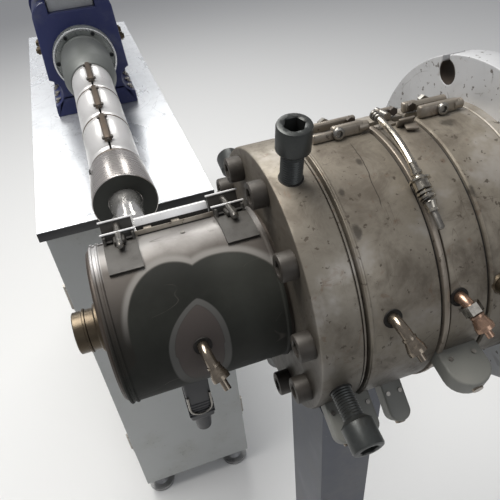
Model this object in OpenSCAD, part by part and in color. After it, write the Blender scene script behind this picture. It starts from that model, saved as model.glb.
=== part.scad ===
// Co-extrusion pipe die head with the small side extruder that feeds it.
// Millimetres, +Z up. The die axis lies along X and the melt leaves towards -X.
// The origin is the centre of the rear flange's mating face.

/* [Stand] */
// Height of the die axis above the floor
axis_height = 1050; // [900:10:1200]
// Clearance between curved faces that seat on each other
seat_gap = 0.3; // [0.2:0.05:0.5]

/* [Rear flange] */
// Outside radius of the rear flange
flange_r = 184; // [175:1:210]
// Thickness of the rear flange
flange_t = 28; // [20:1:40]
// Radius of the spigot seat in the flange
inlet_r = 35; // [26:1:45]
// Number of swing bolt slots
flange_slots = 6; // [3:1:8]
// Radius of the circle that the slot holes lie on
slot_circle_r = 167; // [160:1:170]
// Radius of each slot hole
slot_hole_r = 13; // [8:0.5:15]
// Width of the mouth of each slot
slot_mouth_w = 12; // [6:1:16]
// Turn of the slots about the die axis
slot_turn = -21; // [-30:1:30]

/* [Die body] */
// Radius of the die body where it is bare
body_r = 140; // [135:1:148]
// Length of the bare land behind the bands
rear_land_l = 10; // [6:1:20]
// Length of the rear heater band
rear_band_l = 58; // [45:1:80]
// Length of the middle heater band
middle_band_l = 40; // [32:1:60]
// Length of the strap between the bands
strap_l = 7; // [5:1:12]
// Length of the wide heater band
wide_band_l = 71; // [66:1:100]
// Length of the groove in front of the bands
groove_l = 5; // [3:1:10]
// Depth of the groove
groove_depth = 7; // [3:0.5:12]
// Radius of the melt channel
melt_r = 25; // [15:1:25]
// Length of the bare front zone
front_zone_l = 40; // [34:1:60]
// Wall of the heater bands
band_wall = 7; // [4:0.5:10]
// Gap between neighbouring bands
band_joint = 1; // [0.5:0.1:2]
// Height of the strap above the bands
strap_step = 1.5; // [0:0.5:4]
// Width of the split along the top of each band
band_split = 12; // [6:1:18]
// Turn of the split from the top towards the back
band_split_turn = 9; // [0:1:20]

/* [Band clamps] */
// Height of the clamp bars above the bands
clamp_h = 17; // [14:1:30]
// Thickness of each clamp bar
clamp_t = 9; // [6:1:12]
// Length of the clamp on the wide band
wide_clamp_l = 50; // [30:1:60]
// Length of the clamp on the middle band
middle_clamp_l = 22; // [18:1:24]
// Length of the clamp on the rear band
rear_clamp_l = 46; // [30:1:50]
// Radius of the cross bolts
clamp_bolt_r = 4; // [3:0.5:5]
// Radius of the cross bolt heads
clamp_head_r = 6; // [5:0.5:7]
// Thickness of the cross bolt heads
clamp_head_t = 6; // [4:0.5:8]

/* [Centring bolts] */
// Shank radius of the centring bolts
centring_r = 10; // [8:0.5:12]
// Head radius of the centring bolts
centring_head_r = 15; // [14:0.5:18]
// Height of the heads
centring_head_h = 24; // [16:1:26]
// Length of the shank that stands out of the body
centring_out = 33; // [14:1:40]
// Depth of the shank in the body
centring_in = 30; // [20:1:50]
// Turn of the four bolts about the die axis
centring_turn = 12; // [-20:1:20]
// Height of the collar under each head
centring_neck_h = 6; // [3:0.5:8]

/* [Face screws] */
// Number of screws in the front face
face_screw_count = 10; // [6:1:12]
// Radius of the circle that they lie on
face_screw_circle_r = 119; // [112:1:123]
// Head radius
face_head_r = 13; // [10:0.5:15]
// Head height
face_head_h = 15; // [12:1:24]
// Radius of the hexagon socket across its corners
face_socket_r = 8; // [6:0.5:9]
// Depth of the socket
face_socket_d = 8; // [6:0.5:10]
// Turn of the screws about the die axis
face_turn = 7; // [-18:1:18]

/* [Small die] */
// Outside radius of the small die's heater band
small_band_r = 80; // [76:1:88]
// Wall of that band
small_band_wall = 3; // [2:0.5:6]
// Length of that band
small_band_l = 161; // [140:1:200]
// Gap between the band and the body's front face
small_face_gap = 4; // [2:0.5:10]
// Length of the small die that stands out of its band
small_nose_l = 4; // [2:0.5:20]
// Distance of the side extruder's axis from the left end of the band
feed_inset = 46; // [36:1:70]
// Radius of the rolled edge of the band
roll_r = 2.2; // [1:0.1:3]
// Width of the split along the top of the band
small_split = 10; // [6:1:14]
// Turn of the split from the top towards the back
small_split_turn = 26; // [0:1:40]
// Height of the lip that the band's edge turns up beside the split
small_lip_h = 15; // [8:1:20]
// Radius of the small hole beside the split
pin_hole_r = 2; // [1:0.25:4]
// Radius of the small die's channel
small_melt_r = 11; // [8:0.5:11.5]

/* [Small band clamps] */
// Length of each clamp along the band
small_clamp_l = 31; // [28:1:44]
// Inset of the left clamp from the band's left end
small_clamp_left_in = 15; // [10:1:30]
// Inset of the right clamp from the band's right end
small_clamp_right_in = 6; // [6:1:30]
// Arc from the split to the end of each base plate, in degrees
small_plate_arc = 42; // [24:1:50]
// Thickness of the clamp's sheet
small_clamp_t = 3; // [2:0.25:4]
// Height of the clamp lugs above the band
small_lug_h = 20; // [16:1:30]
// Distance between the two lugs
small_lug_gap = 18; // [16:1:26]
// Radius of the clamp's cross bolt
small_bolt_r = 4; // [3:0.25:5]
// Length of the cross bolt that stands out in front
small_bolt_out = 22; // [10:1:30]

/* [Outlet tube] */
// Length of the tube
tube_l = 30; // [20:1:60]
// Outside radius of the tube
tube_r = 21; // [18:0.5:26]
// Bore radius of the tube
tube_bore_r = 15; // [12:0.5:16]
// Radius of the collar at its root
tube_collar_r = 25; // [22:0.5:30]
// Length of the collar
tube_collar_l = 9; // [5:1:15]

/* [Thermocouples] */
// Turn of the thermocouples from the top towards the front
probe_turn = 72; // [60:1:85]
// Radius of each probe's sleeve
probe_r = 5; // [4:0.25:6]
// Length of the sleeve that stands out of the band
probe_out = 11; // [10:1:20]
// Length of the bent part of the sleeve
probe_bend_l = 26; // [24:1:40]
// Radius of the collar at the sleeve's end
probe_collar_r = 7.5; // [6.5:0.25:9]
// Length of that collar
probe_collar_l = 9; // [6:0.5:14]
// Distance of the wide band's probe from the band's left edge
wide_probe_in = 23; // [15:1:45]
// Distance of the middle band's probe from its left edge
middle_probe_in = 10; // [10:1:25]
// Distance of the rear band's fitting from its left edge
rear_fitting_in = 12; // [12:1:40]
// Distance of the small band's probe from its left end
small_probe_in = 77; // [60:1:110]
// Turn of the small band's probe from the top towards the front
small_probe_turn = 77; // [70:1:90]

/* [Hanging thermocouple] */
// Turn of its bayonet cap from the top towards the front
loose_turn = 33; // [20:1:60]
// Distance of its axis above the bands
loose_lift = 6.8; // [6.8:0.1:10]
// Radius of its bayonet cap
loose_cap_r = 6.5; // [5:0.5:7]
// Radius of its spring
loose_spring_r = 4; // [3:0.5:5]
// Radius of its tube and tip
loose_tube_r = 2.5; // [2:0.25:3]
// Arc of the tube over the top of the bands, in degrees
loose_arc = 30; // [15:1:40]
// Sideways lean of the tube, in degrees
loose_lean = 4; // [0:0.5:5]

/* [Terminal covers] */
// Width of each terminal cover along the die
cover_w = 24; // [18:1:26]
// Height of each terminal cover
cover_h = 40; // [30:1:50]
// Thickness of each terminal cover
cover_t = 22; // [16:1:28]
// Turn of the front cover from the top towards the front
cover_turn = 118; // [112:1:125]
// Turn from each cover to the next
cover_turn_step = 5; // [0:1:8]
// Width of the cover on the rear band
rear_cover_w = 44; // [34:1:46]
// Turn of that cover from the top towards the front
rear_cover_turn = 102; // [95:1:120]

/* [Heater plug] */
// Width of the plug housing
plug_w = 28; // [22:1:34]
// Height of the plug housing
plug_h = 74; // [60:1:100]
// Distance of the plug in front of the die axis
plug_front = 25; // [15:1:35]
// Distance of the plug from the left end of the band
plug_in = 65; // [50:1:90]
// Radius of the wire bail
bail_wire_r = 1.5; // [1:0.25:2.5]
// Radius of the boot under the plug
boot_r = 11; // [8:0.5:13]
// Height of the boot
boot_h = 30; // [20:1:50]

/* [Side extruder] */
// Distance from the die axis to the face of the barrel cap
cap_face_y = 207; // [190:1:230]
// Length of the barrel cap
cap_l = 79; // [60:1:90]
// Radius of the cap at its front face
cap_front_r = 43; // [41:0.5:50]
// Radius of the cap at its back
cap_back_r = 39; // [38:0.5:41]
// Radius of the feed nozzle
nozzle_r = 22; // [16:0.5:24]
// Radius of the nozzle's neck where it enters the small die
nozzle_neck_r = 17; // [12:0.5:20]
// Radius of the bare barrel
barrel_r = 31; // [26:0.5:32]
// Length of the groove between the cap and the first band
cap_groove_l = 4; // [2:0.5:8]
// Outside radius of the barrel bands
barrel_band_r = 37; // [35:0.5:38]
// Length of each barrel band
barrel_band_l = 116; // [90:1:125]
// Gap between the barrel bands
barrel_band_joint = 2; // [1:0.5:4]
// Radius of the barrel collar
collar_r = 50; // [44:1:52]
// Length of the wide part of the collar
collar_l = 108; // [60:1:120]
// Radius of the barrel flange
barrel_flange_r = 65; // [62:1:76]
// Thickness of the barrel flange
barrel_flange_t = 22; // [16:1:30]

/* [Feed and drive] */
// Width of the feed housing
throat_w = 160; // [156:1:180]
// Length of the feed housing
throat_l = 120; // [110:1:170]
// Height of the feed housing's cheeks above the barrel axis
throat_up = 116; // [100:1:125]
// Width of the feed block between the cheeks
feed_block_w = 94; // [84:1:98]
// Height of the feed block above the barrel axis
feed_block_up = 94; // [80:1:98]
// Radius of the cheeks' rounded tops
cheek_r = 30; // [24:1:31]
// Width of the hopper's square mouth
hopper_w = 300; // [240:5:360]
// Height of the hopper's sloping part
hopper_cone_h = 200; // [150:5:260]
// Height of the hopper's straight part
hopper_box_h = 170; // [100:5:240]
// Width of the hopper's outlet
hopper_outlet_w = 80; // [60:1:100]
// Width of the gearbox
gearbox_w = 170; // [150:1:190]
// Length of the gearbox
gearbox_l = 190; // [150:5:230]
// Height of the gearbox above the barrel axis
gearbox_up = 125; // [110:1:150]
// Radius of the motor
motor_r = 78; // [60:1:85]
// Length of the motor
motor_l = 230; // [180:5:280]
// Height of the cooling fins
fin_h = 9; // [5:0.5:12]
// Thickness of the cooling fins
fin_t = 3; // [2:0.5:5]
// Number of cooling fins
fin_count = 28; // [16:1:36]

/* [Cabinet] */
// Width of the cabinet's top plate
top_w = 300; // [280:5:360]
// Distance of the top plate below the barrel axis
top_drop = 120; // [110:1:140]
// Thickness of the top plate's turned down edge
top_edge = 12; // [6:1:20]
// Distance from the die axis to the front of the top plate
top_front_y = 368; // [350:1:400]
// Length of the top plate
top_l = 1080; // [1040:5:1300]
// Set back of the cabinet's walls under the top plate
top_overhang = 8; // [4:1:20]
// Height of the feet
foot_h = 60; // [40:1:90]
// Radius of the foot plates
foot_r = 35; // [25:1:45]
// Thickness of the doors
door_t = 3; // [2:0.5:6]

/* [Die stand] */
// Width of the saddle across the die
saddle_w = 170; // [120:2:200]
// Length of the saddle along the die
saddle_l = 46; // [30:1:60]
// Width of the column
column_w = 110; // [80:2:140]
// Width of the foot plate across the die
stand_foot_w = 320; // [240:5:420]
// Length of the foot plate along the die
stand_foot_l = 240; // [180:5:300]
// Thickness of the foot plate
stand_foot_t = 15; // [10:1:25]

/* [Hidden] */
$fn = 96;

floor_z = -axis_height;

// Stations along the die, from the rear flange's face towards the outlet
body_rear_x = -flange_t;
rear_band_x = body_rear_x - rear_land_l;
middle_band_x = rear_band_x - rear_band_l - band_joint;
strap_x = middle_band_x - middle_band_l;
wide_band_x = strap_x - strap_l;
groove_x = wide_band_x - wide_band_l;
front_zone_x = groove_x - groove_l;
face_x = front_zone_x - front_zone_l;
small_band_x = face_x - small_face_gap;
small_end_x = small_band_x - small_band_l;
nose_x = small_end_x - small_nose_l;
tube_end_x = nose_x - tube_l;
core_r = body_r - band_wall - seat_gap;
small_core_r = small_band_r - small_band_wall - seat_gap;
lip_x = small_end_x + small_clamp_left_in + small_clamp_l + 2;
lip_l = small_band_x - small_clamp_right_in - small_clamp_l - 2 - lip_x;
probe_seat = 12;

// Stations along the side extruder
feed_x = small_end_x + feed_inset;
cap_back_y = cap_face_y + cap_l;
band1_y = cap_back_y + cap_groove_l;
band_step = barrel_band_l + barrel_band_joint;
collar_y = band1_y + 3 * band_step;
collar_shoulder_l = 30;
flange_y = collar_y + collar_shoulder_l + collar_l;
throat_y = flange_y + barrel_flange_t;
gearbox_y = throat_y + throat_l;
gearbox_flange_t = 14;
motor_y = gearbox_y + gearbox_l;
top_z = -top_drop;
cabinet_z = floor_z + foot_h;
cabinet_h = top_z - top_edge - cabinet_z;
cabinet_w = top_w - 2 * top_overhang;
cabinet_y = top_front_y + top_overhang;
cabinet_l = top_l - 2 * top_overhang;

// A cylinder along the die, from x towards the outlet
module along_die(x, l, r) {
    translate([x - l, 0, 0]) rotate([0, 90, 0]) cylinder(h = l, r = r);
}

// A cylinder along the side extruder, from y towards the drive
module along_barrel(y, l, r, r_end = 0) {
    translate([feed_x, y, 0])
        rotate([-90, 0, 0])
            cylinder(h = l, r1 = r, r2 = r_end > 0 ? r_end : r);
}

// Children drawn on +Z are turned about the die axis, towards the front
module around_die(x, turn) {
    translate([x, 0, 0]) rotate([turn, 0, 0]) children();
}

module ring_along_die(x, l, r_out, r_in) {
    difference() {
        along_die(x, l, r_out);
        along_die(x + 1, l + 2, r_in);
    }
}

// A heater band, split along the top unless it is turned
module heater_band(x, l, r_out, wall, split, turn = 0) {
    difference() {
        ring_along_die(x, l, r_out, r_out - wall);
        around_die(0, turn)
            translate([x - l - 1, -split / 2, 0]) cube([l + 2, split, r_out + 10]);
    }
}

// A heater band of the die body, stepped up where it overlaps its neighbours
module big_band(x, l, step) {
    heater_band(x, l, body_r + step, band_wall + step, band_split, -band_split_turn);
}

module rear_flange() {
    color("gainsboro")
    difference() {
        along_die(0, flange_t, flange_r);
        along_die(1, flange_t + 2, inlet_r);
        for (i = [0 : flange_slots - 1])
            around_die(0, slot_turn + i * 360 / flange_slots) {
                translate([-flange_t - 1, 0, slot_circle_r])
                    rotate([0, 90, 0]) cylinder(h = flange_t + 2, r = slot_hole_r);
                translate([-flange_t - 1, -slot_mouth_w / 2, slot_circle_r])
                    cube([flange_t + 2, slot_mouth_w, flange_r]);
            }
    }
}

module die_body() {
    color("rosybrown")
    difference() {
        union() {
            along_die(body_rear_x, rear_land_l, body_r);
            along_die(rear_band_x, rear_band_x - groove_x, core_r);
            along_die(groove_x, groove_l, body_r - groove_depth);
            along_die(front_zone_x, front_zone_l, body_r);
        }
        along_die(body_rear_x + 1, body_rear_x - face_x + 2, melt_r);
        for (i = [0 : 3])
            around_die(bolt_x(), centring_turn + i * 90)
                translate([0, 0, body_r - centring_in])
                    cylinder(h = centring_in + 1, r = centring_r + seat_gap);
    }
}

module rear_heater_band() {
    color("tan") big_band(rear_band_x, rear_band_l, 0);
}

module middle_heater_band() {
    color("tan")
    difference() {
        big_band(middle_band_x, middle_band_l - band_joint, 0);
        probe_hole(middle_band_x - middle_band_l + middle_probe_in, probe_turn, body_r);
    }
}

module band_strap() {
    color("burlywood") big_band(strap_x, strap_l - band_joint, strap_step);
}

module wide_heater_band() {
    color("tan")
    difference() {
        big_band(wide_band_x, wide_band_l, 0);
        probe_hole(groove_x + wide_probe_in, probe_turn, body_r);
    }
}

// Two bars with cross bolts that draw a band's ends together
module band_clamp(x_mid, l, bolts) {
    bar_z = body_r + seat_gap;
    bolt_z = bar_z + clamp_h * 0.55;
    around_die(x_mid, -band_split_turn) {
        difference() {
            for (s = [-1, 1])
                translate([-l / 2, s * (band_split + clamp_t) / 2 - clamp_t / 2, bar_z - clamp_h / 2])
                    cube([l, clamp_t, clamp_h * 1.5]);
            along_die(l, 2 * l, bar_z);
        }
        for (i = [0 : bolts - 1])
            translate([(i - (bolts - 1) / 2) * l * 0.6, 0, bolt_z]) {
                rotate([90, 0, 0])
                    translate([0, 0, -band_split / 2])
                        cylinder(h = band_split, r = clamp_bolt_r);
                for (s = [-1, 1])
                    translate([0, s * (band_split / 2 + clamp_t + clamp_head_t / 2), 0])
                        rotate([90, 0, 0])
                            cylinder(h = clamp_head_t, r = clamp_head_r, center = true);
            }
    }
}

module rear_band_clamp() {
    color("dimgray") band_clamp(rear_band_x - rear_band_l / 2, rear_clamp_l, 2);
}

module middle_band_clamp() {
    color("dimgray") band_clamp(middle_band_x - middle_band_l / 2, middle_clamp_l, 1);
}

module wide_band_clamp() {
    color("dimgray") band_clamp(wide_band_x - wide_band_l / 2, wide_clamp_l, 2);
}

function bolt_x() = front_zone_x - front_zone_l / 2;

// Socket head bolt that stands on +Z at the body's surface
module centring_bolt(turn) {
    head_z = body_r + centring_out;
    around_die(bolt_x(), turn)
    difference() {
        union() {
            translate([0, 0, body_r - centring_in + seat_gap])
                cylinder(h = centring_in + centring_out, r = centring_r);
            translate([0, 0, head_z - centring_neck_h])
                cylinder(h = centring_neck_h, r1 = centring_r, r2 = centring_head_r);
            translate([0, 0, head_z]) cylinder(h = centring_head_h, r = centring_head_r);
        }
        translate([0, 0, head_z + centring_head_h * 0.4])
            cylinder(h = centring_head_h, r = centring_head_r * 0.62, $fn = 6);
    }
}

module centring_bolt_top() {
    color("darkslategray") centring_bolt(centring_turn);
}

module centring_bolt_front() {
    color("darkslategray") centring_bolt(centring_turn + 90);
}

module centring_bolt_bottom() {
    color("darkslategray") centring_bolt(centring_turn + 180);
}

module centring_bolt_back() {
    color("darkslategray") centring_bolt(centring_turn + 270);
}

module face_screws() {
    color("dimgray")
    for (i = [0 : face_screw_count - 1])
        around_die(0, face_turn + i * 360 / face_screw_count)
            translate([0, 0, face_screw_circle_r])
            difference() {
                along_die(face_x, face_head_h, face_head_r);
                translate([face_x - face_head_h - 1, 0, 0])
                    rotate([0, 90, 0])
                        cylinder(h = face_socket_d + 1, r = face_socket_r, $fn = 6);
            }
}

module small_die() {
    color("darkgray")
    difference() {
        along_die(face_x, face_x - nose_x, small_core_r);
        along_die(face_x + 1, face_x - nose_x + 2, small_melt_r);
        along_barrel(0, small_core_r + 1, nozzle_neck_r + seat_gap);
        probe_hole(small_end_x + small_probe_in, small_probe_turn, small_core_r);
    }
}

module small_heater_band() {
    color("lightgray")
    difference() {
        union() {
            heater_band(small_band_x, small_band_l, small_band_r, small_band_wall, small_split, -small_split_turn);
            band_lip();
            for (x = [small_end_x + roll_r, small_end_x + 4 * roll_r])
                rolled_edge(x);
        }
        along_barrel(0, small_band_r + 10, nozzle_r + 3);
        probe_hole(small_end_x + small_probe_in, small_probe_turn, small_band_r);
        around_die(small_end_x + small_probe_in + 4, 12)
            translate([0, 0, small_band_r - small_band_wall - 1]) cylinder(h = 6, r = pin_hole_r);
    }
}

// The bead rolled into the band's left edge, open at the split
module rolled_edge(x) {
    difference() {
        translate([x, 0, 0])
            rotate([0, 90, 0])
                rotate_extrude()
                    translate([small_band_r - roll_r / 2, 0]) circle(r = roll_r, $fn = 24);
        along_die(x + 20, 40, small_band_r - small_band_wall);
        around_die(x, -small_split_turn)
            translate([-20, -small_split / 2, 0]) cube([40, small_split, small_band_r + 10]);
    }
}

// The edge turned up behind the split, between the clamps
module band_lip() {
    around_die(lip_x, -small_split_turn)
        translate([0, small_split / 2, small_band_r - small_band_wall])
            cube([lip_l, small_band_wall, small_band_wall + small_lip_h]);
}

// A hole for a probe, drawn radially through a wall
module probe_hole(x, turn, r_wall) {
    around_die(x, turn)
        translate([0, 0, r_wall - probe_seat]) cylinder(h = 30, r = probe_r + 1.5);
}

// Curved base plates, upright lugs and a cross bolt, over the band's split
module small_clamp(x_mid) {
    lug_z = small_band_r + seat_gap;
    bolt_z = lug_z + small_lug_h * 0.55;
    lug_y = small_lug_gap / 2;
    around_die(x_mid, -small_split_turn) {
        for (s = [-1, 1]) {
            base_plate(s);
            difference() {
                translate([-small_clamp_l / 2, s > 0 ? lug_y : -lug_y - small_clamp_t, lug_z - 10])
                    cube([small_clamp_l, small_clamp_t, small_lug_h + 10]);
                along_die(small_clamp_l, 2 * small_clamp_l, lug_z);
            }
        }
        translate([0, lug_y + small_clamp_t + 6, bolt_z])
            rotate([90, 0, 0])
                cylinder(h = small_lug_gap + 2 * small_clamp_t + 6 + small_bolt_out, r = small_bolt_r);
        translate([0, lug_y + small_clamp_t + 5, bolt_z])
            rotate([90, 0, 0])
                cylinder(h = 5, r = small_bolt_r * 1.7, $fn = 6);
    }
}

// A base plate from its lug to the end of its arc, on one side of the split
module base_plate(side) {
    plate_r = small_band_r + seat_gap + small_clamp_t;
    lug_y = small_lug_gap / 2;
    reach = plate_r * sin(small_plate_arc) - lug_y;
    difference() {
        intersection() {
            along_die(small_clamp_l / 2, small_clamp_l, plate_r);
            translate([-small_clamp_l, side > 0 ? lug_y : -lug_y - reach, 0])
                cube([2 * small_clamp_l, reach, 2 * plate_r]);
        }
        along_die(small_clamp_l, 2 * small_clamp_l, plate_r - small_clamp_t);
    }
}

module small_clamp_left() {
    color("slategray") small_clamp(small_end_x + small_clamp_left_in + small_clamp_l / 2);
}

module small_clamp_right() {
    color("slategray") small_clamp(small_band_x - small_clamp_right_in - small_clamp_l / 2);
}

module outlet_tube() {
    color("peru")
    difference() {
        union() {
            along_die(nose_x, tube_l, tube_r);
            along_die(nose_x, tube_collar_l, tube_collar_r);
        }
        along_die(nose_x + 1, tube_l + 2, tube_bore_r);
    }
}

// A sleeve that leaves the surface, bends down and ends in a collar
module probe(x, turn, r_wall, tip) {
    elbow_z = r_wall + probe_out;
    around_die(x, turn) {
        translate([0, 0, r_wall - tip]) cylinder(h = tip + probe_out, r = probe_r);
        translate([0, 0, elbow_z]) sphere(r = probe_r + 1);
        translate([0, 0, elbow_z])
            rotate([55, 28, 0]) {
                cylinder(h = probe_bend_l, r = probe_r);
                translate([0, 0, probe_bend_l - probe_collar_l])
                    cylinder(h = probe_collar_l, r1 = probe_r + 0.5, r2 = probe_collar_r);
                translate([0, 0, probe_bend_l]) cylinder(h = 3, r = probe_collar_r);
            }
    }
}

module wide_thermocouple() {
    color("silver") probe(groove_x + wide_probe_in, probe_turn, body_r, band_wall);
}

module middle_thermocouple() {
    color("silver")
        probe(middle_band_x - middle_band_l + middle_probe_in, probe_turn, body_r, band_wall);
}

module small_thermocouple() {
    color("silver")
        probe(small_end_x + small_probe_in, small_probe_turn, small_band_r, small_band_r - small_core_r + probe_seat);
}

module rear_fitting() {
    color("goldenrod")
    around_die(rear_band_x - rear_band_l + rear_fitting_in, probe_turn) {
        difference() {
            translate([0, 0, body_r - 6]) cylinder(h = 14, r = 8);
            rotate([0, 90, 0]) cylinder(h = 40, r = body_r + seat_gap, center = true);
        }
        translate([0, 0, body_r + 8]) cylinder(h = 8, r = 10, $fn = 6);
    }
}

// Bayonet thermocouple that hangs over the bands, its cap resting on them
module loose_thermocouple() {
    axis_r = body_r + strap_step + loose_lift;
    tube_back = 28;
    tube_turn = loose_turn - atan(tube_back / axis_r);
    color("silver") {
        around_die(strap_x - strap_l / 2, loose_turn)
            translate([0, 0, axis_r])
                rotate([90, 0, 0]) {
                    translate([0, 0, -tube_back]) cylinder(h = tube_back, r = loose_tube_r + 1);
                    translate([0, 0, -12]) cylinder(h = 16, r = loose_cap_r);
                    cylinder(h = 28, r = loose_spring_r);
                    cylinder(h = 35, r = loose_tube_r);
                }
        around_die(strap_x - strap_l / 2, tube_turn)
            rotate([0, -90, -loose_lean])
                rotate_extrude(angle = loose_arc)
                    translate([sqrt(pow(axis_r, 2) + pow(tube_back, 2)), 0]) circle(r = loose_tube_r, $fn = 24);
    }
}

// A terminal cover with a rounded end, seated on a band
module terminal_cover(x, turn, w) {
    around_die(x, turn)
    difference() {
        union() {
            translate([-w / 2, -cover_t / 2, body_r - 10]) cube([w, cover_t, cover_h + 10 - w * 0.3]);
            intersection() {
                translate([0, 0, body_r + cover_h - w * 0.5])
                    rotate([90, 0, 0]) cylinder(h = cover_t, r = w / 2, center = true);
                translate([-w / 2, -cover_t / 2, body_r]) cube([w, cover_t, cover_h]);
            }
        }
        rotate([0, 90, 0]) cylinder(h = 3 * w, r = body_r + seat_gap, center = true);
    }
}

module terminal_covers() {
    color("gray") {
        terminal_cover(front_zone_x - front_zone_l / 2, cover_turn, cover_w);
        terminal_cover(groove_x + 2, cover_turn + cover_turn_step, cover_w);
        terminal_cover(groove_x + 43, cover_turn + 2 * cover_turn_step, cover_w);
        terminal_cover(middle_band_x - middle_band_l * 0.62, rear_cover_turn, rear_cover_w);
    }
}

module heater_plug() {
    plug_x = small_end_x + plug_in;
    plug_top = -sqrt(pow(small_band_r, 2) - pow(plug_front, 2));
    color("dimgray") {
        difference() {
            translate([plug_x - plug_w / 2, -plug_front - plug_w / 2, plug_top - plug_h])
                cube([plug_w, plug_w, plug_h + 20]);
            along_die(plug_x + plug_w, 2 * plug_w, small_band_r + seat_gap);
        }
        translate([plug_x, -plug_front, plug_top - plug_h - boot_h])
            cylinder(h = boot_h, r1 = boot_r * 0.8, r2 = boot_r);
        plug_bail(plug_x, plug_top - plug_h * 0.35);
    }
}

// The wire bail in front of the plug, a U with its legs up
module plug_bail(x, z) {
    leg = 22;
    y = -plug_front - plug_w / 2 - bail_wire_r;
    translate([x, y, z]) {
        for (s = [-1, 1])
            translate([s * (plug_w / 2 - bail_wire_r), 0, -leg]) cylinder(h = leg, r = bail_wire_r, $fn = 24);
        translate([0, 0, -leg])
            rotate([90, 0, 0])
                difference() {
                    rotate_extrude()
                        translate([plug_w / 2 - bail_wire_r, 0]) circle(r = bail_wire_r, $fn = 24);
                    translate([-plug_w, 0, -5]) cube([2 * plug_w, plug_w, 10]);
                }
    }
}

module feed_nozzle() {
    neck_in = 20;
    neck_y = small_core_r - neck_in;
    cone_l = 40;
    cone_y = cap_face_y - cone_l;
    color("silver") {
        along_barrel(neck_y, cone_y - neck_y, nozzle_neck_r);
        along_barrel(cone_y, cone_l, nozzle_neck_r, nozzle_r);
    }
}

module barrel_cap() {
    rim = 2;
    color("rosybrown") {
        along_barrel(cap_face_y, rim, cap_front_r - rim, cap_front_r);
        along_barrel(cap_face_y + rim, cap_l - rim, cap_front_r, cap_back_r);
    }
}

module barrel() {
    color("gray") along_barrel(cap_back_y, collar_y - cap_back_y, barrel_r);
}

module barrel_band(i) {
    difference() {
        along_barrel(band1_y + i * band_step, barrel_band_l, barrel_band_r);
        along_barrel(band1_y + i * band_step - 1, barrel_band_l + 2, barrel_r + seat_gap);
    }
}

module barrel_band_front() {
    color("whitesmoke") barrel_band(0);
}

module barrel_band_middle() {
    color("whitesmoke") barrel_band(1);
}

module barrel_band_rear() {
    color("whitesmoke") barrel_band(2);
}

// A bar on each barrel band, with two screws
module barrel_band_clamps() {
    bar_w = 11;
    bar_h = 8;
    bar_l = barrel_band_l * 0.8;
    color("sienna")
    for (i = [0 : 2])
        translate([feed_x, band1_y + i * band_step + barrel_band_l / 2, 0]) {
            difference() {
                translate([-bar_w / 2, -bar_l / 2, barrel_band_r - 4]) cube([bar_w, bar_l, bar_h + 4]);
                rotate([90, 0, 0]) cylinder(h = 2 * bar_l, r = barrel_band_r + seat_gap, center = true);
            }
            for (s = [-1, 1])
                translate([0, s * bar_l * 0.42, barrel_band_r + bar_h]) cylinder(h = 4, r = 4);
        }
}

module barrel_collar() {
    color("darkslategray") {
        along_barrel(collar_y, collar_shoulder_l, barrel_band_r + 3, collar_r);
        along_barrel(collar_y + collar_shoulder_l, collar_l, collar_r);
    }
}

module barrel_flange() {
    screw_r = 4;
    color("lightslategray") {
        difference() {
            along_barrel(flange_y, barrel_flange_t, barrel_flange_r);
            along_barrel(flange_y - 1, 5, barrel_flange_r - 5);
        }
        for (i = [0 : 5])
            translate([feed_x, flange_y + 4, 0])
                rotate([0, 30 + i * 60, 0])
                    translate([0, -3, (collar_r + barrel_flange_r - 5) / 2])
                        rotate([-90, 0, 0]) cylinder(h = 3, r = screw_r);
    }
}

module barrel_support() {
    foot_w = collar_r * 1.6;
    support_y = collar_y + collar_shoulder_l + collar_l * 0.3;
    support_l = collar_l * 0.5;
    color("lightslategray")
    difference() {
        union() {
            translate([feed_x - collar_r * 0.5, support_y, top_z]) cube([collar_r, support_l, top_drop]);
            translate([feed_x - foot_w / 2, support_y - 10, top_z]) cube([foot_w, support_l + 20, 10]);
        }
        along_barrel(support_y - 20, support_l + 40, collar_r + seat_gap);
    }
}

// Casting with two rounded cheeks and a flared foot, the feed block between them
module feed_housing() {
    shoulder_x = throat_w / 2 - cheek_r;
    shoulder_z = throat_up - cheek_r;
    flare = 10;
    color("midnightblue")
    translate([feed_x, throat_y, 0])
    difference() {
        union() {
            for (s = [-1, 1])
                translate([s * shoulder_x, 0, shoulder_z])
                    rotate([-90, 0, 0]) cylinder(h = throat_l, r = cheek_r);
            translate([-shoulder_x, 0, shoulder_z]) cube([2 * shoulder_x, throat_l, cheek_r]);
            rotate([90, 0, 0])
                translate([0, 0, -throat_l])
                    linear_extrude(throat_l)
                        polygon([[-throat_w / 2, shoulder_z], [throat_w / 2, shoulder_z],
                                 [throat_w / 2 + flare, top_z + 12], [throat_w / 2 + flare, top_z],
                                 [-throat_w / 2 - flare, top_z], [-throat_w / 2 - flare, top_z + 12]]);
        }
        translate([-feed_block_w / 2, -1, feed_block_up]) cube([feed_block_w, throat_l + 2, throat_up]);
        for (s = [-1, 1])
            translate([s * (throat_w / 2 + 16), -1, -barrel_flange_r])
                rotate([-90, 0, 0]) cylinder(h = throat_l + 2, r = 30);
    }
}

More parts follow.
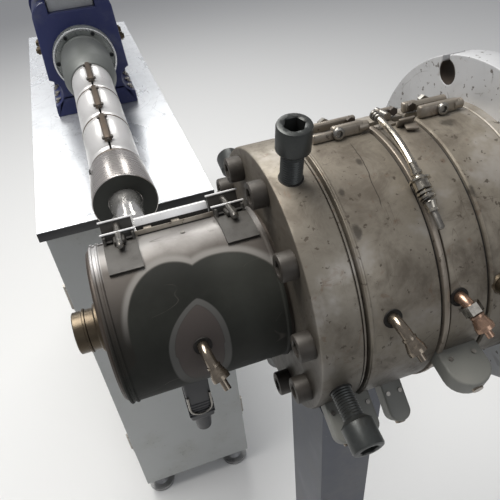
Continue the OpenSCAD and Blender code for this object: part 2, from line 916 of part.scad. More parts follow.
module hopper() {
    slide_h = throat_up - feed_block_up + 16;
    slide_w = feed_block_w - 2;
    y_mid = throat_y + throat_l / 2;
    color("gainsboro")
    translate([feed_x, y_mid, feed_block_up]) {
        translate([-slide_w / 2, -slide_w / 2, 0]) cube([slide_w, slide_w, slide_h]);
        hull() {
            translate([-hopper_outlet_w / 2, -hopper_outlet_w / 2, slide_h])
                cube([hopper_outlet_w, hopper_outlet_w, 1]);
            translate([-hopper_w / 2, -hopper_w / 2, slide_h + hopper_cone_h])
                cube([hopper_w, hopper_w, 1]);
        }
        translate([-hopper_w / 2, -hopper_w / 2, slide_h + hopper_cone_h])
            cube([hopper_w, hopper_w, hopper_box_h]);
        translate([-hopper_w / 2 - 6, -hopper_w / 2 - 6, slide_h + hopper_cone_h + hopper_box_h])
            cube([hopper_w + 12, hopper_w + 12, 8]);
    }
}

// Casting with an arched back, end flanges and side ribs
module gearbox() {
    rib_t = 12;
    body_w = gearbox_w - 2 * rib_t;
    arch_z = gearbox_up - rib_t - body_w / 2;
    body_l = gearbox_l - 2 * gearbox_flange_t;
    color("midnightblue") {
        for (y = [gearbox_y, motor_y - gearbox_flange_t])
            gearbox_flange(y);
        translate([feed_x, gearbox_y + gearbox_flange_t, 0]) {
            translate([0, 0, arch_z]) rotate([-90, 0, 0]) cylinder(h = body_l, r = body_w / 2);
            translate([-body_w / 2, 0, top_z]) cube([body_w, body_l, arch_z - top_z]);
            for (y = [body_l * 0.33, body_l * 0.67])
                translate([-gearbox_w / 2, y - rib_t / 2, top_z]) cube([gearbox_w, rib_t, arch_z - top_z]);
            translate([0, body_l / 2, gearbox_up - rib_t - 2]) cylinder(h = 12, r = 14);
        }
    }
}

// An end flange with its upper corners rounded
module gearbox_flange(y) {
    corner_r = 40;
    corner_x = gearbox_w / 2 - corner_r;
    translate([feed_x, y, 0]) {
        for (s = [-1, 1])
            translate([s * corner_x, 0, gearbox_up - corner_r])
                rotate([-90, 0, 0]) cylinder(h = gearbox_flange_t, r = corner_r);
        translate([-corner_x, 0, top_z]) cube([2 * corner_x, gearbox_flange_t, gearbox_up - top_z]);
        translate([-gearbox_w / 2, 0, top_z])
            cube([gearbox_w, gearbox_flange_t, gearbox_up - corner_r - top_z]);
    }
}

module motor() {
    bell_l = 24;
    fan_l = 46;
    frame_l = motor_l - bell_l - fan_l;
    color("steelblue") {
        along_barrel(motor_y, bell_l, motor_r + fin_h);
        along_barrel(motor_y + bell_l, frame_l, motor_r);
        for (i = [0 : fin_count - 1])
            translate([feed_x, motor_y + bell_l, 0])
                rotate([0, i * 360 / fin_count, 0])
                    translate([-fin_t / 2, -1, motor_r - 2]) cube([fin_t, frame_l + 2, fin_h]);
        along_barrel(motor_y + bell_l + frame_l, fan_l, motor_r + fin_h);
        translate([feed_x - motor_r * 0.8, motor_y + bell_l + 20, top_z])
            cube([motor_r * 1.6, frame_l - 40, top_drop - motor_r * 0.75]);
        translate([feed_x - motor_r * 0.45, motor_y + bell_l + 30, motor_r - 12])
            cube([motor_r * 0.9, frame_l - 60, fin_h + 42]);
    }
}

module cabinet() {
    color("darkgray")
        translate([feed_x - cabinet_w / 2, cabinet_y, cabinet_z]) cube([cabinet_w, cabinet_l, cabinet_h]);
}

module cabinet_top() {
    color("aliceblue")
        translate([feed_x - top_w / 2, top_front_y, top_z - top_edge]) cube([top_w, top_l, top_edge]);
}

// Two doors on each long side, with handles
module cabinet_doors() {
    margin = 30;
    door_l = (cabinet_l - 3 * margin) / 2;
    door_h = cabinet_h - 2 * margin;
    color("silver")
    for (s = [-1, 1])
        for (i = [0, 1])
            translate([feed_x + s * (cabinet_w + door_t) / 2, cabinet_y + margin + i * (door_l + margin),
                       cabinet_z + margin]) {
                translate([-door_t / 2, 0, 0]) cube([door_t, door_l, door_h]);
                translate([s * (door_t / 2 + 3), i == 0 ? door_l - 40 : 24, door_h * 0.55])
                    translate([-3, 0, 0]) cube([6, 16, 110]);
            }
}

module cabinet_feet() {
    color("dimgray")
    for (sx = [-1, 1])
        for (sy = [0, 0.5, 1])
            translate([feed_x + sx * (cabinet_w / 2 - foot_r), cabinet_y + foot_r + sy * (cabinet_l - 2 * foot_r),
                       floor_z]) {
                cylinder(h = 12, r = foot_r);
                translate([0, 0, 12]) cylinder(h = 8, r1 = foot_r * 0.6, r2 = foot_r * 0.35);
                cylinder(h = foot_h, r = 8);
                translate([0, 0, foot_h - 16]) cylinder(h = 10, r = 15, $fn = 6);
            }
}

// Saddle, column and foot plate under the die body
module die_stand() {
    x_mid = wide_band_x - wide_band_l / 2;
    saddle_top = -body_r * 0.72;
    saddle_z = -body_r - 60;
    column_l = saddle_l + 30;
    color("midnightblue") {
        difference() {
            translate([x_mid - saddle_l / 2, -saddle_w / 2, saddle_z])
                cube([saddle_l, saddle_w, saddle_top - saddle_z]);
            along_die(x_mid + saddle_l, 2 * saddle_l, body_r + seat_gap);
        }
        translate([x_mid - column_l / 2, -column_w / 2, floor_z + stand_foot_t])
            cube([column_l, column_w, saddle_z - floor_z - stand_foot_t]);
        translate([x_mid - stand_foot_l / 2, -stand_foot_w / 2, floor_z])
            cube([stand_foot_l, stand_foot_w, stand_foot_t]);
        for (s = [-1, 1])
            translate([x_mid - 6, s * column_w / 2, floor_z + stand_foot_t])
                rotate([90, 0, 90])
                    linear_extrude(12)
                        polygon([[0, 0], [s * (stand_foot_w - column_w) * 0.4, 0], [0, 160]]);
    }
}

rear_flange();
die_body();
rear_heater_band();
middle_heater_band();
band_strap();
wide_heater_band();
rear_band_clamp();
middle_band_clamp();
wide_band_clamp();
centring_bolt_top();
centring_bolt_front();
centring_bolt_bottom();
centring_bolt_back();
face_screws();
small_die();
small_heater_band();
small_clamp_left();
small_clamp_right();
outlet_tube();
wide_thermocouple();
middle_thermocouple();
small_thermocouple();
rear_fitting();
loose_thermocouple();
terminal_covers();
heater_plug();
feed_nozzle();
barrel_cap();
barrel();
barrel_band_front();
barrel_band_middle();
barrel_band_rear();
barrel_band_clamps();
barrel_collar();
barrel_flange();
barrel_support();
feed_housing();
hopper();
gearbox();
motor();
cabinet();
cabinet_top();
cabinet_doors();
cabinet_feet();
die_stand();
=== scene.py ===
import math
from contextlib import contextmanager

import bmesh
import bpy
from mathutils import Matrix, Vector


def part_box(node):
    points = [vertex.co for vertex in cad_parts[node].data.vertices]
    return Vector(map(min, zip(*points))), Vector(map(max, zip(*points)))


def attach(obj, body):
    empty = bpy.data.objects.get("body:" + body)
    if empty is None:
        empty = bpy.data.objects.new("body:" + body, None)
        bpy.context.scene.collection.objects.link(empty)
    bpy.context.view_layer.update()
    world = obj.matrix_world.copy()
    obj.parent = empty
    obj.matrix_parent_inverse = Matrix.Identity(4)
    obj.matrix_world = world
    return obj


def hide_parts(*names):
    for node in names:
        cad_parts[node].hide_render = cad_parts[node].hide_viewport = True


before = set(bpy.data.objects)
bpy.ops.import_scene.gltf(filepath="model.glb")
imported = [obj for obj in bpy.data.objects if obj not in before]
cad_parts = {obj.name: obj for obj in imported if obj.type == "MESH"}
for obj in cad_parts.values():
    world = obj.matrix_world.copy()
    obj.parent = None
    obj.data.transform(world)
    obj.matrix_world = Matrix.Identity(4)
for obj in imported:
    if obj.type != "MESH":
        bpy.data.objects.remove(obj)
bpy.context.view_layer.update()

# The script works in millimetres, and a finished piece is scaled to metres
metre = 0.001
sharpAngle = math.radians(32)
scene = bpy.context.scene
up, left, right = Vector((0, 0, 1)), Vector((-1, 0, 0)), Vector((1, 0, 0))
ahead, behind = Vector((0, -1, 0)), Vector((0, 1, 0))


def nodeBox(node):
    low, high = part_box(node)
    return low / metre, high / metre


def span(node, letter):
    # Both ends and the middle of a node's box in one direction
    low, high = (getattr(corner, letter) for corner in nodeBox(node))
    return low, high, (low + high) / 2


bodyR, smallR = 140, 80
bodyFace, bodyRear, _ = span("die_body", "x")
wideLow, wideHigh, wideMid = span("wide_heater_band", "x")
strapLow, strapHigh, strapMid = span("band_strap", "x")
middleLow, middleHigh, middleMid = span("middle_heater_band", "x")
rearLow, rearHigh, rearMid = span("rear_heater_band", "x")
smallLow, smallHigh, _ = span("small_heater_band", "x")
boltStation = span("centring_bolt_top", "x")[2]
capFront, capBack, _ = span("barrel_cap", "y")
feedX = span("barrel_cap", "x")[2]
floorLevel = span("cabinet_feet", "z")[0]
print("frame read")


# Shapes

class Axis:
    # A line with stations along it and turns round it, in degrees from up
    def __init__(self, origin, along, up=up):
        self.origin, self.along, self.up = Vector(origin), Vector(along), Vector(up)

    def out(self, turn):
        return Matrix.Rotation(math.radians(turn), 4, self.along) @ self.up

    def point(self, station, radius=0, turn=0):
        return self.origin + self.along * station + self.out(turn) * radius

    def place(self, station, radius, turn):
        # Local Z points outwards from the line, and local X runs along it
        out = self.out(turn)
        turned = Matrix((self.along, out.cross(self.along), out)).transposed().to_4x4()
        turned.translation = self.point(station, radius, turn)
        return turned

    def branch(self, station, radius, turn):
        # A line that leaves this one outwards
        return Axis(self.point(station, radius, turn), self.out(turn), right)


dieAxis = Axis((0, 0, 0), right)
barrelAxis = Axis((feedX, 0, 0), behind)


def turned(spot, angle, letter):
    return Matrix.Translation(spot) @ Matrix.Rotation(math.radians(angle), 4, letter)


def lathe(bm, axis, outline, startTurn=0, sweep=360, steps=160):
    # Turns (station, radius) points round the axis. An outline that starts on the axis ends on it
    rim = [bm.verts.new(axis.point(station, radius, startTurn)) for station, radius in outline]
    links = [bm.edges.new((a, b)) for a, b in zip(rim, rim[1:])]
    onAxis, whole = outline[0][1] == 0, sweep >= 360
    if not onAxis:
        links.append(bm.edges.new((rim[-1], rim[0])))
    bmesh.ops.spin(bm, geom=rim + links, cent=axis.origin, axis=axis.along, dvec=(0, 0, 0),
                   angle=math.radians(sweep), steps=steps, use_merge=whole, use_normal_flip=False,
                   use_duplicate=False)
    if onAxis:
        bmesh.ops.remove_doubles(bm, verts=bm.verts, dist=0.01)
    if not whole:
        bmesh.ops.holes_fill(bm, edges=[e for e in bm.edges if e.is_boundary], sides=0)


def sleeve(low, high, inner, outer):
    return [(low, inner), (low, outer), (high, outer), (high, inner)]


def turnedEdge(station, radius, edge, side=1, share=0.3):
    # Rounds the outer corner at an outline's start, or at its end where side is -1
    corner = [(station, radius - edge), (station + side * edge * share, radius - edge * share),
              (station + side * edge, radius)]
    return corner[::side]


def rod(bm, start, end, radius, sides=24, endRadius=None):
    start, end = Vector(start), Vector(end)
    run = end - start
    place = run.to_track_quat("Z", "Y").to_matrix().to_4x4()
    place.translation = (start + end) / 2
    bmesh.ops.create_cone(bm, cap_ends=True, cap_tris=False, segments=sides, radius1=radius,
                          radius2=radius if endRadius is None else endRadius, depth=run.length, matrix=place)


def stack(bm, line, *rods):
    # Rods in one line, each as start, end, radius, sides and, where it tapers, radius at its end
    for start, end, *rest in rods:
        rod(bm, line.point(start), line.point(end), *rest)


def bevel(bm, edges, width, cuts):
    bmesh.ops.bevel(bm, geom=edges, offset=width, offset_type="OFFSET", segments=cuts, profile=0.5,
                    affect="EDGES", material=-1, clamp_overlap=True)


def block(bm, centre, size, edge=0, cuts=2, place=None):
    made = bmesh.ops.create_cube(bm, size=1)["verts"]
    bmesh.ops.scale(bm, verts=made, vec=Vector(size))
    bmesh.ops.translate(bm, verts=made, vec=Vector(centre))
    if place is not None:
        bmesh.ops.transform(bm, verts=made, matrix=place)
    if edge:
        bevel(bm, list({e for v in made for e in v.link_edges}), edge, cuts)


def ringOf(radius, level, hexagon=False, count=48):
    points = []
    for k in range(count):
        swing = k * math.tau / count
        reach = radius
        if hexagon:
            reach *= math.cos(math.pi / 6) / math.cos(swing % (math.pi / 3) - math.pi / 6)
        points.append(Vector((reach * math.cos(swing), reach * math.sin(swing), level)))
    return points


def socketHead(bm, place, radius, height, socketR, depth, edge):
    # A round head: up its side, over the rim and down into the hexagon
    rings = [ringOf(radius - 0.4, 0), ringOf(radius, 0.4), ringOf(radius, height - edge),
             ringOf(radius - edge * 0.3, height - edge * 0.3), ringOf(radius - edge, height),
             ringOf(socketR * 1.04, height), ringOf(socketR, height - 0.9, True),
             ringOf(socketR, height - depth, True)]
    loops = [[bm.verts.new(place @ point) for point in ring] for ring in rings]
    for near, far in zip(loops, loops[1:]):
        for k in range(len(near)):
            after = (k + 1) % len(near)
            bm.faces.new((near[k], near[after], far[after], far[k]))
    bm.faces.new(loops[0][::-1])
    bm.faces.new(loops[-1])


def hexHeads(bm, spots, along, radius, height):
    # Hexagon heads on their washers
    for spot in spots:
        stack(bm, Axis(spot, along), (-0.5, 1.4, radius * 1.3, 28), (1, height, radius, 6))


def tube(bm, points, radius, sides=16, smooth=True):
    # A round bar along a smooth line through the points, or along straight runs
    line = bpy.data.curves.new("route", "CURVE")
    line.dimensions = "3D"
    line.bevel_depth = radius
    line.bevel_resolution = max(1, sides // 4 - 1)
    line.use_fill_caps = True
    line.resolution_u = 10
    spline = line.splines.new("BEZIER" if smooth else "POLY")
    knots = spline.bezier_points if smooth else spline.points
    knots.add(len(points) - 1)
    for knot, spot in zip(knots, points):
        if smooth:
            knot.co = spot
            knot.handle_left_type = knot.handle_right_type = "AUTO"
        else:
            knot.co = (*spot, 1)
    holder = bpy.data.objects.new("route", line)
    mesh = bpy.data.meshes.new_from_object(holder)
    bm.from_mesh(mesh)
    bpy.data.objects.remove(holder)
    bpy.data.curves.remove(line)
    bpy.data.meshes.remove(mesh)


finishes = {}


@contextmanager
def piece(name, finish, slotName, *nodes, place=None):
    # What is built inside the with block becomes one finished object
    bm = bmesh.new()
    yield bm
    if place is not None:
        bmesh.ops.transform(bm, verts=bm.verts, matrix=place)
    bmesh.ops.recalc_face_normals(bm, faces=bm.faces)
    bmesh.ops.scale(bm, verts=bm.verts, vec=(metre, metre, metre))
    mesh = bpy.data.meshes.new(name)
    bm.to_mesh(mesh)
    bm.free()
    mesh.shade_smooth()
    mesh.set_sharp_from_angle(angle=sharpAngle)
    mesh.materials.append(finishes[finish])
    made = bpy.data.objects.new(name, mesh)
    scene.collection.objects.link(made)
    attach(made, "root")
    if nodes:
        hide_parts(*nodes)


# Finishes

def nodeOf(tree, kind, settings=None, inputs=None, output=0):
    node = tree.nodes.new(kind)
    for key, value in (settings or {}).items():
        setattr(node, key, value)
    pairs = inputs.items() if isinstance(inputs, dict) else enumerate(inputs or [])
    for key, value in pairs:
        if isinstance(value, Signal):
            tree.links.new(value.socket, node.inputs[key])
        else:
            node.inputs[key].default_value = value
    return Signal(tree, node.outputs[output])


class Signal:
    # An output socket that can be added, multiplied and so on
    def __init__(self, tree, socket):
        self.tree = tree
        self.socket = socket

    def maths(self, operation, *others, first=None):
        values = [self, *others] if first is None else [first, self]
        return nodeOf(self.tree, "ShaderNodeMath", {"operation": operation}, values)

    def __add__(self, other):
        return self.maths("ADD", other)

    def __sub__(self, other):
        return self.maths("SUBTRACT", other)

    def __rsub__(self, other):
        return self.maths("SUBTRACT", first=other)

    def __mul__(self, other):
        return self.maths("MULTIPLY", other)

    def __truediv__(self, other):
        return self.maths("DIVIDE", other)

    def __abs__(self):
        return self.maths("ABSOLUTE")

    __radd__ = __add__
    __rmul__ = __mul__


class Finish:
    # One material, its colour so far and the nodes that its pattern is worked out with
    def __init__(self, name, tone, metallic, specular=0.5):
        self.colour = tone
        material = finishes[name] = bpy.data.materials.new(name)
        material.use_nodes = True
        self.tree = material.node_tree
        self.shader = self.tree.nodes["Principled BSDF"]
        self.shader.inputs["Metallic"].default_value = metallic
        self.shader.inputs["Specular IOR Level"].default_value = specular
        self.place = self.node("ShaderNodeTexCoord", output="Object")

    def node(self, kind, settings=None, inputs=None, output=0):
        return nodeOf(self.tree, kind, settings, inputs, output)

    def stretched(self, scale):
        return self.node("ShaderNodeMapping", None, {"Vector": self.place, "Scale": scale})

    def axes(self):
        # Object coordinates in millimetres
        return [self.node("ShaderNodeSeparateXYZ", None, [self.place], k) * 1000 for k in range(3)]

    def aroundDie(self):
        # Station in millimetres and turn in degrees
        x, y, z = self.axes()
        return x, (y * -1).maths("ARCTAN2", z) * (180 / math.pi)

    def noise(self, scale, detail=4, roughness=0.55, place=None, distortion=0):
        return self.node("ShaderNodeTexNoise", None,
                         {"Vector": place or self.place, "Scale": scale, "Detail": detail,
                          "Roughness": roughness, "Distortion": distortion}, "Fac")

    def hairlines(self, scale, stretch, width, level=0.5):
        # Thin lines where a stretched noise crosses the level
        return self.step(abs(self.noise(scale, 1, 0.4, self.stretched(stretch)) - level), width, 0.0)

    def step(self, value, low, high):
        return self.node("ShaderNodeMapRange", {"interpolation_type": "SMOOTHSTEP"},
                         {"Value": value, "From Min": low, "From Max": high})

    def mix(self, a, b, share):
        return self.node("ShaderNodeMix", {"data_type": "RGBA"},
                         {0: share, 6: (*a, 1) if isinstance(a, tuple) else a,
                          7: (*b, 1) if isinstance(b, tuple) else b}, 2)

    def cover(self, tone, share):
        self.colour = self.mix(self.colour, tone, share)

    def feed(self, socket, value):
        self.tree.links.new(value.socket, self.shader.inputs[socket])

    def close(self, roughness, height, strength, distance):
        self.feed("Base Color", self.colour)
        self.feed("Roughness", roughness)
        self.feed("Normal", self.node("ShaderNodeBump", None,
                                      {"Height": height, "Strength": strength, "Distance": distance}))


def ovalOf(station, turn, mark):
    # 1 at the edge of an oval mark, and less inside it
    midStation, midTurn, halfStation, halfTurn = mark
    u = (station - midStation) / halfStation
    v = (turn - midTurn) / halfTurn
    return (u * u + v * v).maths("SQRT")


# Marks on the heater bands: smudges as station, turn and both half sizes, and one long scratch
bandMarks = {
    "smudges": ((-71, 3.5, 9, 3.2), (-176, 13, 3, 2.2), (-206, 39, 5, 3.4), (-205, 24, 3, 2), (-93, 36, 4, 2.4)),
    "smudgeShare": 0.75,
    "scratchStart": (-171, 2),
    "scratchSlope": -0.22,
    "scratchEnd": 34,
    "scratchWidth": 0.55,
    "scratchShare": 0.9,
    "tone": (0.05, 0.042, 0.034),
}


def markBand(made):
    p = bandMarks
    station, turn = made.aroundDie()
    ragged = (made.noise(120, 4, 0.7) - 0.5) * 1.6
    marks = None
    for mark in p["smudges"]:
        smudge = made.step(ovalOf(station, turn, mark) + ragged, 1.15, 0.35) * p["smudgeShare"]
        marks = smudge if marks is None else marks.maths("MAXIMUM", smudge)
    startStation, startTurn = p["scratchStart"]
    wander = (made.noise(45, 2, 0.4) - 0.5) * 7
    along = station - startStation - (turn - startTurn) * p["scratchSlope"] + wander
    scratch = made.step(abs(along), p["scratchWidth"], p["scratchWidth"] * 0.4)
    scratch = scratch * made.step(turn, startTurn - 1, startTurn + 1)
    scratch = scratch * made.step(turn, p["scratchEnd"], p["scratchEnd"] - 3)
    made.cover(p["tone"], marks.maths("MAXIMUM", scratch * p["scratchShare"]))


wornSteel = {
    "dirtTone": (0.085, 0.068, 0.052),
    "rustTone": (0.16, 0.095, 0.06),
    "paleTone": (0.42, 0.395, 0.365),
    # Painted shade with soot on the die's front face
    "faceShadeTone": (0.055, 0.047, 0.038),
    "faceShadeShare": 0.62,
    "oilShadeTone": (0.042, 0.037, 0.030),
    "oilShadeLevels": (75, -75),     # height in mm where the oil and painted shade start and where they are full
}


def wornFinish(name, tone, dirtShare, rustShare, scratches, metallic=0.55, rough=0.46, oiled=0, marked=False):
    p = wornSteel
    made = Finish(name, tone, metallic, 0.3)
    cloud = made.noise(9, 5, 0.66)
    film = made.noise(26, 6, 0.7, distortion=0.6)
    grain = made.noise(420, 2, 0.5, made.stretched((1, 0.25, 0.25)))
    specks = made.step(made.noise(150, 3, 0.6), 0.635, 0.68)
    cells = made.node("ShaderNodeTexVoronoi", None, {"Vector": made.place, "Scale": 38}, "Distance")
    spots = (1 - made.step(cells, 0.05, 0.13)) * made.step(made.noise(19, 2), 0.46, 0.58)
    blots = made.step(made.noise(48, 4, 0.7, distortion=0.8), 0.60, 0.70)
    dirt = made.step(cloud * 0.6 + film * 0.4, 0.45, 0.63) * dirtShare
    marks = made.hairlines(9, (7, 1, 1.3), 0.0045) + made.hairlines(13, (1.2, 5, 0.8), 0.0035, 0.47)
    marks = marks * made.step(made.noise(34, 2), 0.5, 0.58) * scratches
    made.cover(p["dirtTone"], dirt)
    made.cover(p["paleTone"], made.step(film, 0.36, 0.2) * 0.35)
    if oiled:
        # Rubbed patches stay paler
        made.cover(p["paleTone"], made.step(cloud, 0.49, 0.36) * 0.6)
    made.cover(p["rustTone"], blots * rustShare * 0.8)
    made.cover(p["rustTone"], spots * rustShare)
    made.cover(p["dirtTone"], specks * 0.8)
    made.cover(p["dirtTone"], marks)
    if oiled:
        # Oil, soot and painted shade darken the front face and the lower half
        x, y, z = made.axes()
        made.cover(p["faceShadeTone"], made.step(x, bodyFace + 1, bodyFace) * p["faceShadeShare"])
        made.cover(p["oilShadeTone"], made.step(z + (cloud - 0.5) * 80, *p["oilShadeLevels"]) * oiled)
    if marked:
        markBand(made)
    made.close(rough + (film - 0.5) * 0.35 + dirt * 0.2 + (grain - 0.5) * 0.12,
               grain * 0.35 + film * 0.3 - marks * 0.6 - specks * 0.4, 0.35, 0.0004)


def paintFinish(name, tone, dustTone, rough, dustShare, chips=0, metallic=0):
    made = Finish(name, tone, metallic)
    film = made.noise(9, 5, 0.65)
    fine = made.noise(120, 3, 0.6)
    made.cover(dustTone, made.step(film, 0.45, 0.75) * dustShare)
    made.cover((0.05, 0.045, 0.04), made.step(fine * 0.6 + film * 0.4, 0.58, 0.7) * 0.3)
    if chips:
        made.cover((0.3, 0.29, 0.28), made.step(made.noise(60, 4, 0.7), 0.68, 0.72) * chips)
    made.close(rough + (film - 0.5) * 0.3, fine, 0.12, 0.0004)


usualGrime = (0.06, 0.05, 0.045)


def metalFinish(name, tone, rough, metallic, grime, grimeTone=usualGrime, patch=30, lines=(1, 1, 1)):
    made = Finish(name, tone, metallic)
    film = made.noise(patch, 5, 0.65)
    grain = made.noise(300, 2, 0.5, made.stretched(lines))
    made.cover(grimeTone, made.step(film, 0.48, 0.72) * grime)
    made.cover(tuple(min(1, c * 1.25) for c in tone), made.step(grain, 0.5, 0.75) * 0.5)
    made.close(rough + (film - 0.5) * 0.3 + (grain - 0.5) * 0.2, grain, 0.2, 0.0002)


def sheetFinish(name, tone, rough, metallic):
    # Clean rolled sheet with faint drawn lines round it
    made = Finish(name, tone, metallic)
    lines = made.noise(500, 2, 0.5, made.stretched((0.03, 1, 0.03)))
    made.cover(tuple(c * 0.82 for c in tone), made.step(made.noise(5, 3, 0.5), 0.4, 0.65) * 0.7)
    made.cover((0.25, 0.21, 0.17), made.step(made.noise(170, 3, 0.6), 0.70, 0.74) * 0.5)
    made.close(rough + (lines - 0.5) * 0.12, lines, 0.08, 0.0002)


# The small band carries a lobed burn mark with a pale rim, and a pointed oval round its probe
burnMark = {
    # station, turn, half length, half turn
    "leftLobe": (-363, 62, 44, 46),
    "rightLobe": (-317, 66, 60, 45),
    "lowerPart": (-342, 124, 100, 66),
    "rimWidth": 0.10,
    # station, turn, half length, half turn above and below
    "oval": (-350.5, 80, 28.5, 35, 45),
    "ovalTip": -343,
    "ovalRim": 0.24,
    "sheetTone": (0.33, 0.315, 0.30),
    "filmTones": ((0.14, 0.125, 0.115), (0.07, 0.055, 0.045)),
    # Brown and soot tones, laid on by turn from the top: painted shade over real browning and soot
    "brownShadeTone": (0.052, 0.043, 0.035),
    "sootShadeTone": (0.013, 0.012, 0.009),
    "burnTones": ((0.010, 0.0105, 0.008), (0.036, 0.037, 0.031)),
    "rimTone": (0.21, 0.20, 0.185),
    "ovalRimTone": (0.105, 0.102, 0.095),
    "ovalTone": (0.072, 0.060, 0.054),
    "scuffTone": (0.09, 0.08, 0.07),
    # Painted highlight along the top of the band's rolled left edge
    "edgeHighlightTone": (0.62, 0.61, 0.60),
}


def smallBandFinish(name):
    p = burnMark
    made = Finish(name, p["sheetTone"], 0.5, 0.22)
    step = made.step
    station, turn = made.aroundDie()
    wander = (made.noise(14, 2, 0.4) - 0.5) * 0.09
    cloud = made.noise(12, 5, 0.62)
    film = made.noise(40, 5, 0.7)
    lobes = ovalOf(station, turn, p["leftLobe"]).maths("MINIMUM", ovalOf(station, turn, p["rightLobe"]))
    lower = ovalOf(station, turn, p["lowerPart"])
    burn = step(lobes.maths("SMOOTH_MIN", lower, 0.12) + wander, 1.03, 0.98)
    rim = step(lobes + wander, 1.03 + p["rimWidth"] * 1.3, 1.0 + p["rimWidth"] * 0.6)
    rim = rim * (1 - burn) * step(turn, 66, 34)
    # The oval's sides lean towards its tip
    midStation, midTurn, halfStation, above, below = p["oval"]
    raised = ((midTurn - turn) / above).maths("MAXIMUM", 0)
    sunk = ((turn - midTurn) / below).maths("MAXIMUM", 0)
    u = abs(station - midStation - raised * raised * (p["ovalTip"] - midStation)) / halfStation
    pointed = u.maths("POWER", 1.3) + raised.maths("POWER", 2.4)
    rounded = (u * u + sunk * sunk).maths("SQRT")
    isBelow = step(turn, midTurn - 1, midTurn + 1)
    oval = pointed * (1 - isBelow) + rounded * isBelow + wander * 0.5
    inside = step(oval, 1.02 - p["ovalRim"], 0.95 - p["ovalRim"])
    ovalRim = step(oval, 1.02, 0.95) * (1 - inside) * (1 - step(turn, 92, 122) * 0.75)
    # Brown and sooty lower down: real browning and soot laid on darker away from the top as painted shade, the top
    # left pale as a painted highlight, then the marks over that
    made.cover(p["filmTones"][0], step(cloud, 0.42, 0.72) * 0.6)
    made.cover(p["filmTones"][1], step(film, 0.62, 0.75) * 0.5)
    brownedShade = step(turn + (cloud - 0.5) * 20, -8, 16) * 0.92
    made.cover(p["brownShadeTone"], brownedShade)
    sootedShade = step(turn + (cloud - 0.5) * 24, 26, 68)
    made.cover(p["sootShadeTone"], sootedShade * 0.9)
    made.cover(p["rimTone"], rim * 0.85)
    paler = (step(station, -345, -300) * 0.6 + step(cloud, 0.4, 0.7) * 0.4) * step(turn, 125, 60)
    made.cover(made.mix(*p["burnTones"], paler), burn)
    made.cover(p["ovalRimTone"], ovalRim * 0.85)
    made.cover(p["ovalTone"], inside * (1 - step(turn, 100, 120) * 0.6))
    scuffs = made.hairlines(11, (1, 4, 1.5), 0.004)
    made.cover(p["scuffTone"], scuffs * step(made.noise(30, 2), 0.5, 0.6) * 0.6)
    # Painted highlight on the top of the rolled left edge
    made.cover(p["edgeHighlightTone"], step(station, -415.5, -417) * step(turn, 22, -6) * 0.8)
    dark = burn.maths("MAXIMUM", sootedShade).maths("MAXIMUM", inside * 0.6).maths("MAXIMUM", brownedShade * 0.7)
    made.feed("Metallic", (1 - dark) * 0.6)
    made.close(0.33 + dark * 0.35 + rim * 0.1 + (film - 0.5) * 0.2,
               film + made.noise(260, 2) * 0.4, 0.2, 0.0004)


def plateFinish(name):
    # Bright sheet with wiped smears, curled scratches and long rolling marks
    made = Finish(name, (0.62, 0.635, 0.655), 0.55)
    film = made.noise(11, 6, 0.7)
    smears = made.step(made.noise(7, 4, 0.6, made.stretched((1, 0.35, 1)), 1.2), 0.42, 0.62)
    long = made.noise(60, 2, 0.5, made.stretched((1, 0.04, 1)))
    curls = made.step(abs(made.noise(9, 2, 0.5, distortion=2.2) - 0.5), 0.010, 0.0)
    lines = made.hairlines(16, (5, 0.6, 1), 0.004)
    made.cover((0.36, 0.37, 0.39), made.step(film, 0.46, 0.68) * 0.6)
    made.cover((0.72, 0.745, 0.78), smears * 0.55)
    made.cover((0.30, 0.31, 0.33), (curls + lines * 0.7) * 0.6)
    made.close(0.2 + film * 0.22 + curls * 0.15 - smears * 0.05, long * 0.5 + film * 0.5, 0.2, 0.0006)


# name: tone, dirt, rust, scratches, and what differs from the usual
wornFinishes = {
    "bodySteel": ((0.245, 0.22, 0.18), 0.62, 0.5, 0.35, {"oiled": 0.8}),
    "bandSteel": ((0.275, 0.243, 0.195), 0.68, 0.5, 0.55, {"oiled": 0.8, "marked": True}),
    "strapSteel": ((0.28, 0.243, 0.2), 0.35, 0.3, 0.3, {"metallic": 0.6, "rough": 0.4}),
    "clampSteel": ((0.30, 0.265, 0.22), 0.6, 0.5, 0.3, {"metallic": 0.65, "rough": 0.38}),
    "flangeSteel": ((0.56, 0.565, 0.57), 0.16, 0.3, 0.3, {"metallic": 0.35, "rough": 0.40}),
    "railSteel": ((0.125, 0.098, 0.075), 0.5, 0.5, 0.3, {"metallic": 0.5}),
}
